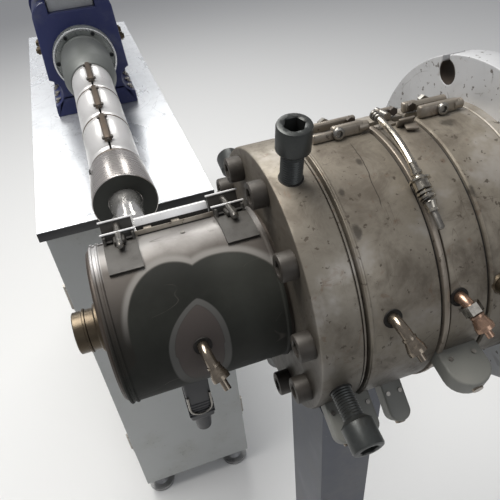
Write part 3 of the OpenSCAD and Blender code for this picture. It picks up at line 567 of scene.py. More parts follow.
# name: tone, roughness, metallic, grime, and maybe grime tone, patches per metre and stretch of the grain
metalFinishes = {
    "smallClampSteel": ((0.052, 0.048, 0.042), 0.56, 0.2, 0.6, (0.022, 0.018, 0.014), 60),
    # Near-white tone for the lips and lug edges: a painted highlight
    "lipHighlightSteel": ((0.92, 0.91, 0.90), 0.34, 0.3, 0.05),
    "blackBolt": ((0.035, 0.038, 0.042), 0.34, 0.55, 0.5, (0.02, 0.02, 0.02)),
    "boltBrown": ((0.050, 0.053, 0.051), 0.38, 0.55, 0.5, (0.030, 0.023, 0.017)),
    "screwBrown": ((0.048, 0.042, 0.035), 0.5, 0.35, 0.6, (0.030, 0.023, 0.017)),
    # Also used as painted shade inside the flange's bolt holes
    "darkRustAndShade": ((0.055, 0.042, 0.032), 0.5, 0.4, 0.5),
    "boltZinc": ((0.27, 0.255, 0.23), 0.3, 0.9, 0.5),
    "boreDark": ((0.02, 0.018, 0.016), 0.7, 0.2, 0.2),
    "probeSteel": ((0.25, 0.21, 0.165), 0.22, 0.9, 0.6, (0.05, 0.038, 0.028), 70),
    "nutSteel": ((0.26, 0.24, 0.21), 0.14, 0.95, 0.5, (0.05, 0.04, 0.03), 60),
    "looseSteel": ((0.47, 0.435, 0.37), 0.19, 0.95, 0.8, (0.05, 0.038, 0.028), 95),
    "probeCopper": ((0.42, 0.27, 0.19), 0.27, 0.9, 0.5, usualGrime, 70),
    "brassTube": ((0.10, 0.078, 0.052), 0.34, 0.8, 0.7, (0.05, 0.036, 0.024), 30, (1, 3, 3)),
    "jointBrown": ((0.10, 0.075, 0.055), 0.45, 0.5, 0.4),
    "nozzleSteel": ((0.82, 0.80, 0.77), 0.2, 0.9, 0.2),
    # Near-white tone for the dish's rings: a painted highlight
    "ringHighlightSteel": ((0.90, 0.90, 0.90), 0.25, 0.6, 0.05),
    "hopperSheet": ((0.40, 0.41, 0.42), 0.46, 0.6, 0.3, usualGrime, 30, (6, 6, 1)),
    "footZinc": ((0.36, 0.36, 0.36), 0.45, 0.8, 0.5),
}
# name: tone, dust tone, roughness, dust, and maybe chips and metallic
paintFinishes = {
    "coverSheet": ((0.185, 0.185, 0.165), (0.27, 0.26, 0.23), 0.5, 0.4),
    "capFaceBlack": ((0.014, 0.016, 0.012), (0.035, 0.036, 0.03), 0.55, 0.5),
    "dishPaint": ((0.30, 0.315, 0.30), (0.46, 0.46, 0.44), 0.28, 0.3, 0.2, 0.4),
    "collarPaint": ((0.19, 0.20, 0.19), (0.3, 0.3, 0.29), 0.5, 0.4, 0.2, 0.35),
    "bluePaint": ((0.020, 0.028, 0.115), (0.16, 0.17, 0.22), 0.34, 0.45, 0.3),
    "cabinetPaint": ((0.42, 0.43, 0.42), (0.28, 0.26, 0.22), 0.42, 0.3, 0.2),
    "standPaint": ((0.060, 0.066, 0.085), (0.16, 0.155, 0.15), 0.42, 0.5, 0.3),
    "greyPaint": ((0.25, 0.27, 0.265), (0.2, 0.19, 0.17), 0.45, 0.35, 0.2),
    "motorPaint": ((0.045, 0.075, 0.16), (0.2, 0.2, 0.2), 0.4, 0.4, 0.3),
    "blackPaint": ((0.02, 0.02, 0.022), (0.1, 0.1, 0.1), 0.45, 0.3),
}
for name, (*values, others) in wornFinishes.items():
    wornFinish(name, *values, **others)
for makeFinish, table in ((metalFinish, metalFinishes), (paintFinish, paintFinishes)):
    for name, values in table.items():
        makeFinish(name, *values)
sheetFinish("capSteel", (0.60, 0.56, 0.53), 0.26, 0.85)
sheetFinish("brightSteel", (0.90, 0.885, 0.865), 0.3, 0.6)
smallBandFinish("smallBandSheet")
plateFinish("plateSheet")
print("finishes made")


# Nodes kept as CAD solids with softened edges, as finish, slot, edge in mm and cuts of the edge
keptNodes = {
    "rear_flange": ("flangeSteel", "machined_steel", 1.0, 2),
    "barrel_support": ("greyPaint", "grey_green_paint", 1.0, 2),
    "feed_housing": ("bluePaint", "blue_paint", 3.0, 3),
    "gearbox": ("bluePaint", "blue_paint", 3.0, 3),
    "motor": ("motorPaint", "motor_paint", 0.4, 1),
    "hopper": ("hopperSheet", "hopper_steel", 1.5, 2),
    "cabinet": ("cabinetPaint", "cabinet_paint", 2.0, 2),
    "cabinet_top": ("plateSheet", "plate_steel", 1.2, 2),
    "cabinet_doors": ("cabinetPaint", "cabinet_paint", 0.8, 2),
    "cabinet_feet": ("footZinc", "foot_steel", 0.8, 2),
    "die_stand": ("standPaint", "blue_paint", 1.5, 2),
}


def dressNode(node, finish, slotName, edge, cuts):
    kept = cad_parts[node]
    kept.data.materials.clear()
    kept.data.materials.append(finishes[finish])
    weld = kept.modifiers.new("weld", "WELD")
    weld.merge_threshold = 0.00002
    soften = kept.modifiers.new("soften", "BEVEL")
    soften.width = edge * metre
    soften.segments = cuts
    soften.limit_method = "ANGLE"
    soften.angle_limit = math.radians(35)
    soften.harden_normals = False


for node, values in keptNodes.items():
    dressNode(node, *values)

flangeHoles = {"count": 6, "circleR": 167, "turn": -21, "outR": 12.9, "wall": 0.7, "mouth": 12,
               "ends": (0.4, 27.6)}


def makeHoleShadeLiners():
    # Painted shade: dark walls inside the flange's bolt holes, open at the mouth
    p = flangeHoles
    gap = 2 * math.degrees(math.asin(p["mouth"] / 2 / p["outR"])) + 6
    outline = sleeve(*p["ends"], p["outR"] - p["wall"], p["outR"])
    with piece("holeShadeLiners", "darkRustAndShade", "machined_steel") as bm:
        for k in range(p["count"]):
            turn = p["turn"] + k * 360 / p["count"]
            hole = Axis(dieAxis.point(bodyRear, p["circleR"], turn), right, dieAxis.out(turn))
            lathe(bm, hole, outline, gap / 2, 360 - gap, 40)


makeHoleShadeLiners()
print("rear flange dressed")


# Die body with its groove, and the seats of the centring bolts

dieBody = {
    "edge": 2.5,
    "coreR": 132.7,
    "grooveR": 133,
    "grooveLength": 5,
    "lipR": 138.5,
    "lipStart": 1.2,
    "lipLength": 1.6,
    "boreR": 25,
    "boreEdge": 2,
    "boltTurn": 12,
    "seat": (0, 0.9, 11.6, 48, 11.2),
}


def makeDieBody():
    p = dieBody
    groove = wideLow - p["grooveLength"]
    lip = groove + p["lipStart"]
    lipEnd = lip + p["lipLength"]
    outline = [
        (bodyFace, p["boreR"] + p["boreEdge"]), *turnedEdge(bodyFace, bodyR, p["edge"], 1, 0.35),
        (groove - 1.2, bodyR), (groove, bodyR - 1.0), (groove, p["grooveR"]),
        (lip, p["grooveR"]), (lip, p["lipR"]), (lipEnd, p["lipR"]), (lipEnd, p["grooveR"]),
        (wideLow, p["grooveR"]), (wideLow, p["coreR"]), (rearHigh, p["coreR"]),
        (rearHigh, bodyR - 0.8), (rearHigh + 0.8, bodyR), (bodyRear, bodyR),
        (bodyRear, p["boreR"]), (bodyFace + p["boreEdge"], p["boreR"]),
    ]
    with piece("dieBody", "bodySteel", "oiled_steel", "die_body") as bm:
        lathe(bm, dieAxis, outline, steps=200)
    with piece("boltSeats", "boreDark", "oiled_steel") as bm:
        for k in range(4):
            stack(bm, dieAxis.branch(boltStation, bodyR - 0.6, p["boltTurn"] + k * 90), p["seat"])


makeDieBody()
print("die body made")


# Heater bands, each a split sheet with turned edges, and the soot between them

bandShape = {"wall": 7, "split": 5.0, "splitTurn": -9, "edge": 1.1, "gap": 0.9, "bead": 1.1}
# piece: node, both ends, outer radius, finish and the station of a bead
bands = {
    "wideBand": ("wide_heater_band", wideLow, wideHigh, bodyR, "bandSteel", wideLow + 3.4),
    "middleBand": ("middle_heater_band", middleLow, middleHigh, bodyR, "bandSteel", None),
    "rearBand": ("rear_heater_band", rearLow, rearHigh, bodyR, "bandSteel", rearLow + 3.2),
    "bandStrap": ("band_strap", strapLow - 0.4, strapHigh + 0.9, bodyR + 1.5, "strapSteel", None),
}
bandGaps = {"stations": (wideHigh + 0.2, strapHigh + 0.8, (middleHigh + rearLow) / 2), "half": 1.4,
            "radii": (134, 137.2)}


def makeBand(name, node, low, high, outR, finish, bead):
    p = bandShape
    low, high, inR = low + p["gap"], high - p["gap"], bodyR - p["wall"]
    outline = [(low, inR), *turnedEdge(low, outR, p["edge"])]
    if bead:
        for shift, share in ((-1.6, 0), (-0.8, 0.85), (0, 1), (0.8, 0.85), (1.6, 0)):
            outline.append((bead + shift, outR + p["bead"] * share))
    outline += [*turnedEdge(high, outR, p["edge"], -1), (high, inR)]
    with piece(name, finish, "band_steel", node) as bm:
        lathe(bm, dieAxis, outline, p["splitTurn"] + p["split"] / 2, 360 - p["split"], 190)


for name, values in bands.items():
    makeBand(name, *values)
with piece("bandGaps", "boreDark", "band_steel") as bm:
    for station in bandGaps["stations"]:
        half = bandGaps["half"]
        lathe(bm, dieAxis, sleeve(station - half, station + half, *bandGaps["radii"]), steps=150)
print("heater bands made")


# Centring bolts and face screws

centringBolt = {
    "foot": 112,
    "shankR": 10,
    "threadPitch": 2.5,
    "threadDepth": 0.9,
    "neckHeight": 5,
    "headBase": 173,
    # radius, height, socket radius, socket depth, edge
    "head": (15, 24, 9.3, 14, 2.2),
}
faceScrews = {"count": 10, "circleR": 119, "turn": 7, "head": (13, 15, 7.4, 8, 1.8)}


def makeCentringBolt(side, turn):
    p = centringBolt
    shankR, pitch, top, headR = p["shankR"], p["threadPitch"], p["headBase"], p["head"][0]
    rootR, neck, station = shankR - p["threadDepth"], top - p["neckHeight"], p["foot"]
    outline = [(station, 0)]
    while station < neck - pitch:
        outline += [(station, rootR), (station + pitch / 2, shankR)]
        station += pitch
    outline += [(neck, rootR), (neck, shankR), (top - 1, headR - 0.8), (top, headR), (top, 0)]
    with piece("centring" + side, "boltBrown", "black_bolts", "centring_bolt_" + side.lower()) as bm:
        lathe(bm, dieAxis.branch(boltStation, 0, turn), outline, steps=48)
        socketHead(bm, dieAxis.place(boltStation, top, turn), *p["head"])


for k, side in enumerate(("Top", "Front", "Bottom", "Back")):
    makeCentringBolt(side, dieBody["boltTurn"] + k * 90)
with piece("faceScrews", "screwBrown", "black_bolts", "face_screws") as bm:
    for k in range(faceScrews["count"]):
        spot = dieAxis.point(bodyFace, faceScrews["circleR"], faceScrews["turn"] + k * 360 / faceScrews["count"])
        socketHead(bm, turned(spot, -90, "Y"), *faceScrews["head"])
print("bolts made")


# Big band clamps: rounded bars hug the bands, and cross bolts draw them together

bandClamp = {"thickness": 8, "height": 12, "frontY": -11, "rearY": 11, "seat": 139.5, "boltR": 4,
             "head": (6, 3.4, 3, 2.6, 1.4)}


def makeBandClamps():
    p = bandClamp
    front, back, thick, tall, boltR = p["frontY"], p["rearY"], p["thickness"], p["height"], p["boltR"]
    level = p["seat"] + tall / 2
    # The clamps are drawn over the top and then turned to the split
    toSplit = turned((0, 0, 0), bandShape["splitTurn"], "X")

    def clampPiece(name, finish, *nodes):
        return piece(name, finish, "clamp_steel", *nodes, place=toSplit)

    def roundedBar(bm, low, high):
        # A bar whose far end is a full round
        block(bm, ((low + high) / 2, front, level), (high - low, thick, tall), 2.6, 3)
        stack(bm, Axis((high, front, level), right), (-5, 4, tall * 0.44, 32),
              (4, 5.4, tall * 0.44, 32, tall * 0.34))

    with clampPiece("wideClamp", "clampSteel", "wide_band_clamp") as bm:
        roundedBar(bm, wideMid - 3, wideMid + 29)
        block(bm, (wideMid - 12, front - 1, level - 1.5), (22, 5, tall - 4), 1.2)
        block(bm, (wideMid + 4, back, level), (56, thick - 2, tall - 3), 1.8, 3)
    with clampPiece("middleClamp", "clampSteel", "middle_band_clamp") as bm:
        block(bm, (middleMid, back, level), (24, 6, tall - 4), 1.8, 3)
        block(bm, (middleMid - 2, front + 2, level + 1), (20, 9, 2.6), 0.8, 2, turned((0, 0, 0), -3, "Y"))
        # The bent tab that points down the front of the middle band
        tab = dieAxis.place(middleMid + 6, bodyR + 4, 8)
        block(bm, (0, 0, 0), (17, 2.6, 12), 0.8, 2, tab @ turned((0, 0, 0), 24, "X"))
        block(bm, (4, -6, -1), (12, 12, 2.4), 0.8, 2, tab @ turned((0, 0, 0), -18, "Z"))
    with clampPiece("rearClamp", "clampSteel", "rear_band_clamp") as bm:
        roundedBar(bm, rearMid - 24, rearMid + 19)
        stack(bm, Axis((rearMid, back - 1, level), right), (-26, 19, 4.4, 28), (19, 20.4, 4.4, 28, 3))
        block(bm, (rearMid - 20, back, level), (16, thick - 1, tall - 2), 1.8, 3)
    with clampPiece("clampBolts", "boltZinc") as bm:
        for x in (wideMid + 2, rearMid):
            # A button head in front, a nut behind
            line = Axis((x, 0, level), behind)
            stack(bm, line, (front - thick / 2 - 1, front + thick / 2, boltR, 24))
            socketHead(bm, turned((x, front - thick / 2, level), 90, "X"), *p["head"])
            stack(bm, line, (back + thick / 2, back + thick / 2 + 5, p["head"][0], 6))
        stack(bm, Axis((middleMid - 3, 0, level), behind), (front + 8, back + 7, boltR, 24))
    with clampPiece("clampNuts", "darkRustAndShade") as bm:
        for x in (wideMid + 25, middleMid + 8, rearMid - 21):
            stack(bm, Axis((x, back, level + 1), behind), (-7.4, -2, 4.4, 6))


makeBandClamps()
print("band clamps made")


# Small die, its heater band and the band's folded ends

smallBandShape = {"wall": 3, "play": 0.3, "split": 7.2, "splitTurn": -26, "beadR": 1.5, "edge": 2, "boreR": 11,
                  "nose": 4}


def makeSmallDie():
    p = smallBandShape
    wallR, beadR, edge, nose = smallR - p["wall"], p["beadR"], p["edge"], smallLow - p["nose"]
    core = wallR - p["play"]
    with piece("smallDie", "darkRustAndShade", "small_band_steel", "small_die") as bm:
        lathe(bm, dieAxis, [(nose, p["boreR"]), (nose, core - edge), (nose + edge, core), (bodyFace, core),
                            (bodyFace, p["boreR"])], steps=120)
    outline = [(smallLow, wallR)]
    for centre in (smallLow + beadR, smallLow + 4.6 * beadR):
        for k in range(7):
            swing = math.pi - k * math.pi / 6
            outline.append((centre + beadR * math.cos(swing), smallR - 0.2 + beadR * 0.9 * math.sin(swing)))
    outline += [(smallHigh - 4, smallR), (smallHigh - 2.2, smallR + 1.2), (smallHigh, smallR + 1.2),
                (smallHigh, wallR)]
    with piece("smallBand", "smallBandSheet", "small_band_steel", "small_heater_band") as bm:
        lathe(bm, dieAxis, outline, p["splitTurn"] + p["split"] / 2, 360 - p["split"], 170)


bandLip = {"sheet": 2.4, "rearHeight": 15, "frontHeight": 6, "gap": 5, "tabs": (-26, 2), "rivet": (-336, -8)}


def makeBandLip():
    # The band's two ends are folded up along the split, the rear one higher
    p = bandLip
    gap, sheet, rearHeight, frontHeight = p["gap"], p["sheet"], p["rearHeight"], p["frontHeight"]
    clampLow, clampHigh, _ = span("small_clamp_left", "x")
    low, high = clampHigh + 2, span("small_clamp_right", "x")[0] - 2
    length = high - low
    whole = length + clampHigh - clampLow
    place = dieAxis.place((low + high) / 2, smallR, smallBandShape["splitTurn"])
    # The rear lip's near-white tone is a painted highlight
    with piece("bandLipRear", "lipHighlightSteel", "small_band_steel", place=place) as bm:
        block(bm, (0, gap + 1.4, rearHeight / 2 - 1), (length, sheet, rearHeight + 2), 0.7)
        block(bm, (0, gap + 4.6, rearHeight - 0.6), (length, 7, 1.4), 0.5, 1)
    with piece("bandLipFront", "clampSteel", "small_band_steel", place=place) as bm:
        block(bm, (0, -gap, frontHeight / 2 - 1), (whole, sheet, frontHeight), 0.5)
        for shift in p["tabs"]:
            block(bm, (shift, 0, frontHeight - 1), (8, 9, 1.4), 0.4, 1)
    # Painted shade: dark strips in the split's gap, at the foot of the front lip and on the rear lip's front face
    with piece("bandGapShade", "boreDark", "small_band_steel", place=place) as bm:
        block(bm, (0, 0, -1.6), (whole, 2 * gap, 1.2))
        block(bm, (0, gap, 5.4), (length, 0.9, 4.4))
        block(bm, (0, -gap - 1.5, 0.3), (length, 0.8, 1.2))
    station, turn = p["rivet"]
    with piece("bandRivet", "boltZinc", "small_band_steel") as bm:
        stack(bm, dieAxis.branch(station, smallR, turn), (-1, 0.8, 2.6, 24, 2.2))


smallClamp = {
    "sheet": 2.6,
    "play": 0.3,
    "lugY": 10.4,
    "lugs": ((-1, 11), (1, 20)),    # side and height
    "arc": 42,
    "pinR": 3.3,
    "pinFront": (-26, 1),           # past the lug, and height
    "pinBack": (7, 15),
}


def makeSmallClamp(name, node):
    p = smallClamp
    low, high, mid = span(node, "x")
    length, sheet, lugY, seatR = high - low, p["sheet"], p["lugY"], smallR + p["play"]
    splitTurn = smallBandShape["splitTurn"]
    lugTurn = math.degrees(math.asin(lugY / smallR))
    place = dieAxis.place(mid, smallR, splitTurn)
    with piece(name, "smallClampSteel", "clamp_steel", node) as bm:
        # Curved base plates on both sides of the split
        for start in (splitTurn + lugTurn, splitTurn - p["arc"]):
            lathe(bm, dieAxis, sleeve(low, high, seatR, seatR + sheet), start, p["arc"] - lugTurn, 18)
        # Upright lugs with gussets beside them, and a saddle in front
        for side, height in p["lugs"]:
            block(bm, (0, side * lugY, height / 2 - 1), (length, sheet, height), 0.6, 2, place)
            for x in (2 - length / 2, length / 2 - 2):
                block(bm, (x, side * (lugY + 5), 3.4), (2.2, 10, 9), 0.4, 1, place)
        block(bm, (0, 0, 0), (11, 17, 5), 1.5, 3, place @ turned((0, -lugY - 8, 3.2), 8, "X"))
    frontY, frontZ = p["pinFront"]
    backY, backZ = p["pinBack"]
    start = place @ Vector((0, lugY + backY, backZ))
    run = place @ Vector((0, frontY - lugY, frontZ)) - start
    reach, pinR = run.length, p["pinR"]
    with piece(name + "Pin", "boltZinc", "clamp_steel") as bm:
        stack(bm, Axis(start, run.normalized()), (0, reach, pinR, 28), (reach, reach + 1.4, pinR, 28, pinR - 1.2),
              (-1, 4, 5.6, 6))
    # Painted highlights: near-white strips along the lugs' top edges
    with piece(name + "Edge", "lipHighlightSteel", "clamp_steel", place=place) as bm:
        for side, height in p["lugs"]:
            block(bm, (0, side * lugY - 1, height - 1), (length + 3, 3.4, 1.6), 0.5)
    with piece(name + "Slots", "boreDark", "clamp_steel", place=place) as bm:
        for x in (-length * 0.33, length * 0.33):
            block(bm, (x, -lugY - 5.5, 2.9), (length * 0.26, 7, 1.4), 0.4, 1)
        # Painted shade: a dark strip on the front lug's front face
        block(bm, (0, -lugY - 1.5, 4.5), (length - 4, 0.8, 5), 0.2, 1)


makeSmallDie()
makeBandLip()
makeSmallClamp("smallClampLeft", "small_clamp_left")
makeSmallClamp("smallClampRight", "small_clamp_right")
print("small die made")


# Outlet tube with its collar and a ring

outletTube = {"outR": 21, "boreR": 15, "collarR": 25, "collarLength": 9, "ringR": 22.4, "ringStations": (17, 20.4)}


def makeOutletTube():
    p = outletTube
    far, near, _ = span("outlet_tube", "x")
    outR, boreR, collarR, ringR = p["outR"], p["boreR"], p["collarR"], p["ringR"]
    collarEnd = near - p["collarLength"]
    ringNear, ringFar = (near - station for station in p["ringStations"])
    outline = [(near, boreR), (near, collarR), (collarEnd + 1.5, collarR), (collarEnd, collarR - 1.5),
               (collarEnd, outR), (ringNear, outR), (ringNear - 0.8, ringR), (ringFar + 0.8, ringR),
               (ringFar, outR), (far + 1, outR), (far, outR - 1), (far, boreR)]
    with piece("outletTube", "brassTube", "brass", "outlet_tube") as bm:
        lathe(bm, dieAxis, outline, steps=72)


makeOutletTube()


# Thermocouples: a ferrule in a hole, a bent sleeve and a flared bayonet collar

probeShape = {
    "sleeveR": 5.2,
    "play": 0.6,
    "elbow": 11,
    # the sleeve's end in the surface frame: along the axis, round it and outwards
    "sleeveEnd": (7, -21, 24),
    "ferrule": (-2, 4.2, 5.9, 28, 5.1),
    "collar": ((-11, -2, 5.7, 32, 8.4), (-2, 1.6, 8.4, 32), (-13, -11, 6.5, 32)),
    "sheathR": 3.4,
    "nut": ((2, 11, 8.8, 6), (11, 12.4, 8.4, 32, 6.2)),
    "hole": ((0.35, 0), (0.35, 7.7), (0.9, 8.7), (0.3, 8.9), (-1.5, 8.9), (-1.5, 0)),
}
# piece: node, turn, radius of the wall, length of the sheath and whether a nut is on it
probes = {
    "wideProbe": ("wide_thermocouple", 72, bodyR, 9, False),
    "middleProbe": ("middle_thermocouple", 72, bodyR, 9, True),
    "smallProbe": ("small_thermocouple", 77, smallR, 12, False),
}


def makeProbe(name, node, turn, wallR, sheath, nutted):
    p = probeShape
    station = span(node, "x")[0] + p["sleeveR"] + p["play"]
    stem = dieAxis.branch(station, wallR, turn)
    elbow, tip = stem.point(p["elbow"]), dieAxis.place(station, wallR, turn) @ Vector(p["sleeveEnd"])
    run = (tip - elbow).normalized()
    with piece(name, "probeCopper" if nutted else "probeSteel", "probe_steel", node) as bm:
        tube(bm, [stem.point(-6), stem.point(p["elbow"] * 0.45), elbow + run * 7, tip], p["sleeveR"], 24)
        stack(bm, stem, p["ferrule"])
        stack(bm, Axis(tip, run), *p["collar"], (0, sheath, p["sheathR"], 20))
    if nutted:
        with piece(name + "Nut", "nutSteel", "probe_steel") as bm:
            stack(bm, Axis(elbow, run), *p["nut"])
    with piece(name + "Hole", "boreDark", "probe_steel") as bm:
        lathe(bm, stem, p["hole"], steps=40)


for name, values in probes.items():
    makeProbe(name, *values)
print("thermocouples made")

looseProbe = {
    "turn": 33,
    "lift": 8.3,
    "back": 28,
    "arc": 30,
    "lean": 4,
    "tubeR": 3.2,
    # sleeve, collar, bayonet flange, slotted cap and front nut
    "body": ((-28, -16, 4, 24), (-20, -17, 5, 24), (-16, -12, 4, 24, 6.6), (-12, -10.6, 9.2, 32),
             (-10.6, -4, 7, 32), (-4, -2, 7.2, 32), (0, 2, 7.2, 32), (4, 6, 7.2, 32), (10, 16, 6, 24, 4),
             (16, 18.4, 4.8, 24)),
    "spring": {"start": -10, "end": 11, "radius": 4.6, "turns": 6, "wireR": 0.9, "stepsPerTurn": 14},
    "springCore": (-8, 12, 2.4, 20),
    "tip": ((17, 33, 3.2, 20), (33, 34.4, 3.2, 20, 2)),
    # wraps round the pipe, in twelfths of its arc
    "wraps": (10.2, 10.9, 11.6),
    "wrapLength": 0.35,
    "wrapR": 4.5,
}


def coil(start, end, radius, turns, stepsPerTurn):
    run = end - start
    side = run.orthogonal().normalized()
    count = turns * stepsPerTurn
    points = []
    for k in range(count + 1):
        spin = Matrix.Rotation(k / count * turns * math.tau, 4, run.normalized())
        points.append(start + run * (k / count) + spin @ side * radius)
    return points


def makeLooseProbe():
    # A bayonet thermocouple laid over the bands: its body, spring, tip and a pipe bent round the bands
    p = looseProbe
    reach, spring = bodyR + p["lift"], p["spring"]
    place = dieAxis.place(strapMid, reach, p["turn"])
    line = Axis(place.translation, place.to_3x3() @ ahead)
    with piece("looseProbe", "looseSteel", "probe_steel", "loose_thermocouple") as bm:
        stack(bm, line, *p["body"])
    with piece("looseSpring", "boltZinc", "probe_steel") as bm:
        wire = coil(line.point(spring["start"]), line.point(spring["end"]), spring["radius"], spring["turns"],
                    spring["stepsPerTurn"])
        tube(bm, wire, spring["wireR"], 8, False)
        stack(bm, line, p["springCore"])
    with piece("looseTip", "boltZinc", "probe_steel") as bm:
        stack(bm, line, *p["tip"])
    meetTurn = p["turn"] - math.degrees(math.atan(p["back"] / reach))
    meetR = math.hypot(reach, p["back"])
    lean = Matrix.Rotation(math.radians(-p["lean"]), 4, dieAxis.out(meetTurn))

    def onPipe(k):
        return dieAxis.point(strapMid) + lean @ (dieAxis.out(meetTurn - p["arc"] * k / 12) * meetR)

    with piece("loosePipe", "looseSteel", "probe_steel") as bm:
        tube(bm, [onPipe(k) for k in range(13)], p["tubeR"])
    with piece("looseWraps", "boltZinc", "probe_steel") as bm:
        for k in p["wraps"]:
            rod(bm, onPipe(k), onPipe(k + p["wrapLength"]), p["wrapR"], 20)


makeLooseProbe()

rearFitting = {"turn": 72, "rods": ((-2, 8, 8, 32), (0, 2.4, 10.5, 32, 9), (8, 16, 10, 6))}
with piece("rearFitting", "brassTube", "brass", "rear_fitting") as bm:
    stack(bm, dieAxis.branch(span("rear_fitting", "x")[2], bodyR, rearFitting["turn"]), *rearFitting["rods"])


# Terminal covers under the bands

terminalCover = {
    "height": 40,
    "thickness": 20,
    "foot": -6,
    "roundness": 0.9,
    "edge": 2.2,
    "gland": (-3, 1.4, 6, 24, 5),
    "screwR": 2.2,
    # station, turn and width of each
    "places": ((-240, 118, 24), (-213, 123, 24), (-172, 128, 24), (-121.8, 102, 44)),
}


def pressedBox(bm, width, steps=12):
    # A sheet box with a rounded end, pressed from the front
    p = terminalCover
    half, thickness = width / 2, p["thickness"]
    bulge = half * p["roundness"]
    outline = [(-half, p["foot"]), (half, p["foot"])]
    for k in range(steps + 1):
        swing = k * math.pi / steps
        outline.append((half * math.cos(swing), p["height"] - bulge + bulge * math.sin(swing)))
    front = bm.faces.new([bm.verts.new((x, -thickness / 2, z)) for x, z in outline])
    pulled = bmesh.ops.extrude_face_region(bm, geom=[front])["geom"]
    bmesh.ops.translate(bm, verts=[v for v in pulled if isinstance(v, bmesh.types.BMVert)], vec=(0, thickness, 0))
    rims = [e for e in bm.edges if abs(e.verts[0].co.y - e.verts[1].co.y) < 1e-4]
    bevel(bm, rims, p["edge"], 3)


def makeCovers():
    p = terminalCover
    half = p["thickness"] / 2
    for i, (station, turn, width) in enumerate(p["places"]):
        place = dieAxis.place(station, bodyR, turn)
        nodes = ["terminal_covers"] if i == 0 else []
        with piece(f"terminalCover{i + 1}", "coverSheet", "terminal_grey", *nodes, place=place) as bm:
            pressedBox(bm, width - 1)
        with piece(f"coverGland{i + 1}", "probeSteel", "terminal_grey") as bm:
            stack(bm, dieAxis.branch(station, bodyR + p["height"], turn), p["gland"])
        with piece(f"coverScrews{i + 1}", "boltZinc", "terminal_grey") as bm:
            for x in (-width * 0.28, width * 0.28):
                for side in (-1, 1):
                    rod(bm, place @ Vector((x, side * (half + 1.2), 10)),
                        place @ Vector((x, side * (half - 1), 10)), p["screwR"], 16)


makeCovers()


# Heater plug under the small die

heaterPlug = {"width": 28, "height": 74, "frontY": -25, "station": -360, "ribs": 5, "ribSpacing": 5,
              "tail": (-30, 2, 9, 28, 12), "bailR": 1.4, "bailLength": 22, "bailGap": 1.5}


def makePlug():
    p = heaterPlug
    x, y, width, height = p["station"], p["frontY"], p["width"], p["height"]
    top = -math.sqrt(smallR ** 2 - y ** 2)
    with piece("heaterPlug", "blackPaint", "terminal_grey", "heater_plug") as bm:
        block(bm, (x, y, top - height / 2 + 5), (width, width, height + 10), 3, 3)
        for k in range(p["ribs"]):
            level = top - height + 10 + k * p["ribSpacing"]
            block(bm, (x, y, level), (width + 1.6, width + 1.6, 2), 0.6, 1)
        stack(bm, Axis((x, y, top - height), up), p["tail"])
    half, bailY, bailTop = width / 2 - p["bailGap"], y - width / 2 - p["bailGap"], top - height * 0.35
    bend = bailTop - p["bailLength"]
    wire = [(x - half, bailY, bailTop)]
    for k in range(9):
        swing = math.pi + k * math.pi / 8
        wire.append((x + half * math.cos(swing), bailY, bend + half * math.sin(swing)))
    wire.append((x + half, bailY, bailTop))
    with piece("plugBail", "boltZinc", "terminal_grey") as bm:
        tube(bm, wire, p["bailR"], 12, False)


makePlug()
print("fittings made")


# Side extruder: nozzle, cap, barrel and its bands

nozzle = {
    "neckR": 17,
    # from the cap's front: station and radius
    "profile": ((-62, 17), (-58, 19.6), (-50, 19.6), (-46, 17), (-40, 17), (-8, 21), (-2, 21.8), (1, 21.8),
                (1, 0)),
}
capShape = {
    "frontR": 43,
    "backR": 39,
    "slots": ((14, -62), (62, -58)),    # station from the front, and turn
}
barrel = {
    "tubeR": 31,
    "bandR": 37,
    "bandInnerR": 31.3,
    "split": 5,
    "beadStation": 10,
    "bead": 0.5,
    "nodes": ("barrel_band_front", "barrel_band_middle", "barrel_band_rear"),
}


def makeCap():
    p = capShape
    front, back, frontR, backR = capFront, capBack, p["frontR"], p["backR"]
    with piece("feedNozzle", "nozzleSteel", "bright_steel", "feed_nozzle") as bm:
        neck = span("feed_nozzle", "y")[0]
        profile = [(front + station, radius) for station, radius in nozzle["profile"]]
        lathe(bm, barrelAxis, [(neck, 0), (neck, nozzle["neckR"]), *profile], steps=72)
    with piece("barrelCap", "capSteel", "band_steel", "barrel_cap") as bm:
        lathe(bm, barrelAxis, [(front + 1.2, 18), (front + 1.2, frontR - 2), (front, frontR - 1.2),
                               (front + 0.6, frontR - 0.3), (front + 1.6, frontR), (back - 3, backR + 0.4),
                               (back - 1.5, backR), (back, backR - 1.5), (back, barrel["tubeR"])], steps=120)
    with piece("capFace", "capFaceBlack", "band_steel") as bm:
        lathe(bm, barrelAxis, [(front - 0.2, 22.4), (front - 0.2, frontR - 1.6), (front + 0.6, frontR - 0.4),
                               (front + 2, frontR - 0.6), (front + 2, 22.4)], steps=96)
    with piece("capSlots", "boreDark", "band_steel") as bm:
        for station, turn in p["slots"]:
            block(bm, (0, 0, 0), (10, 3, 1.6), 0.3, 1, barrelAxis.place(front + station, frontR - 1.6, turn))


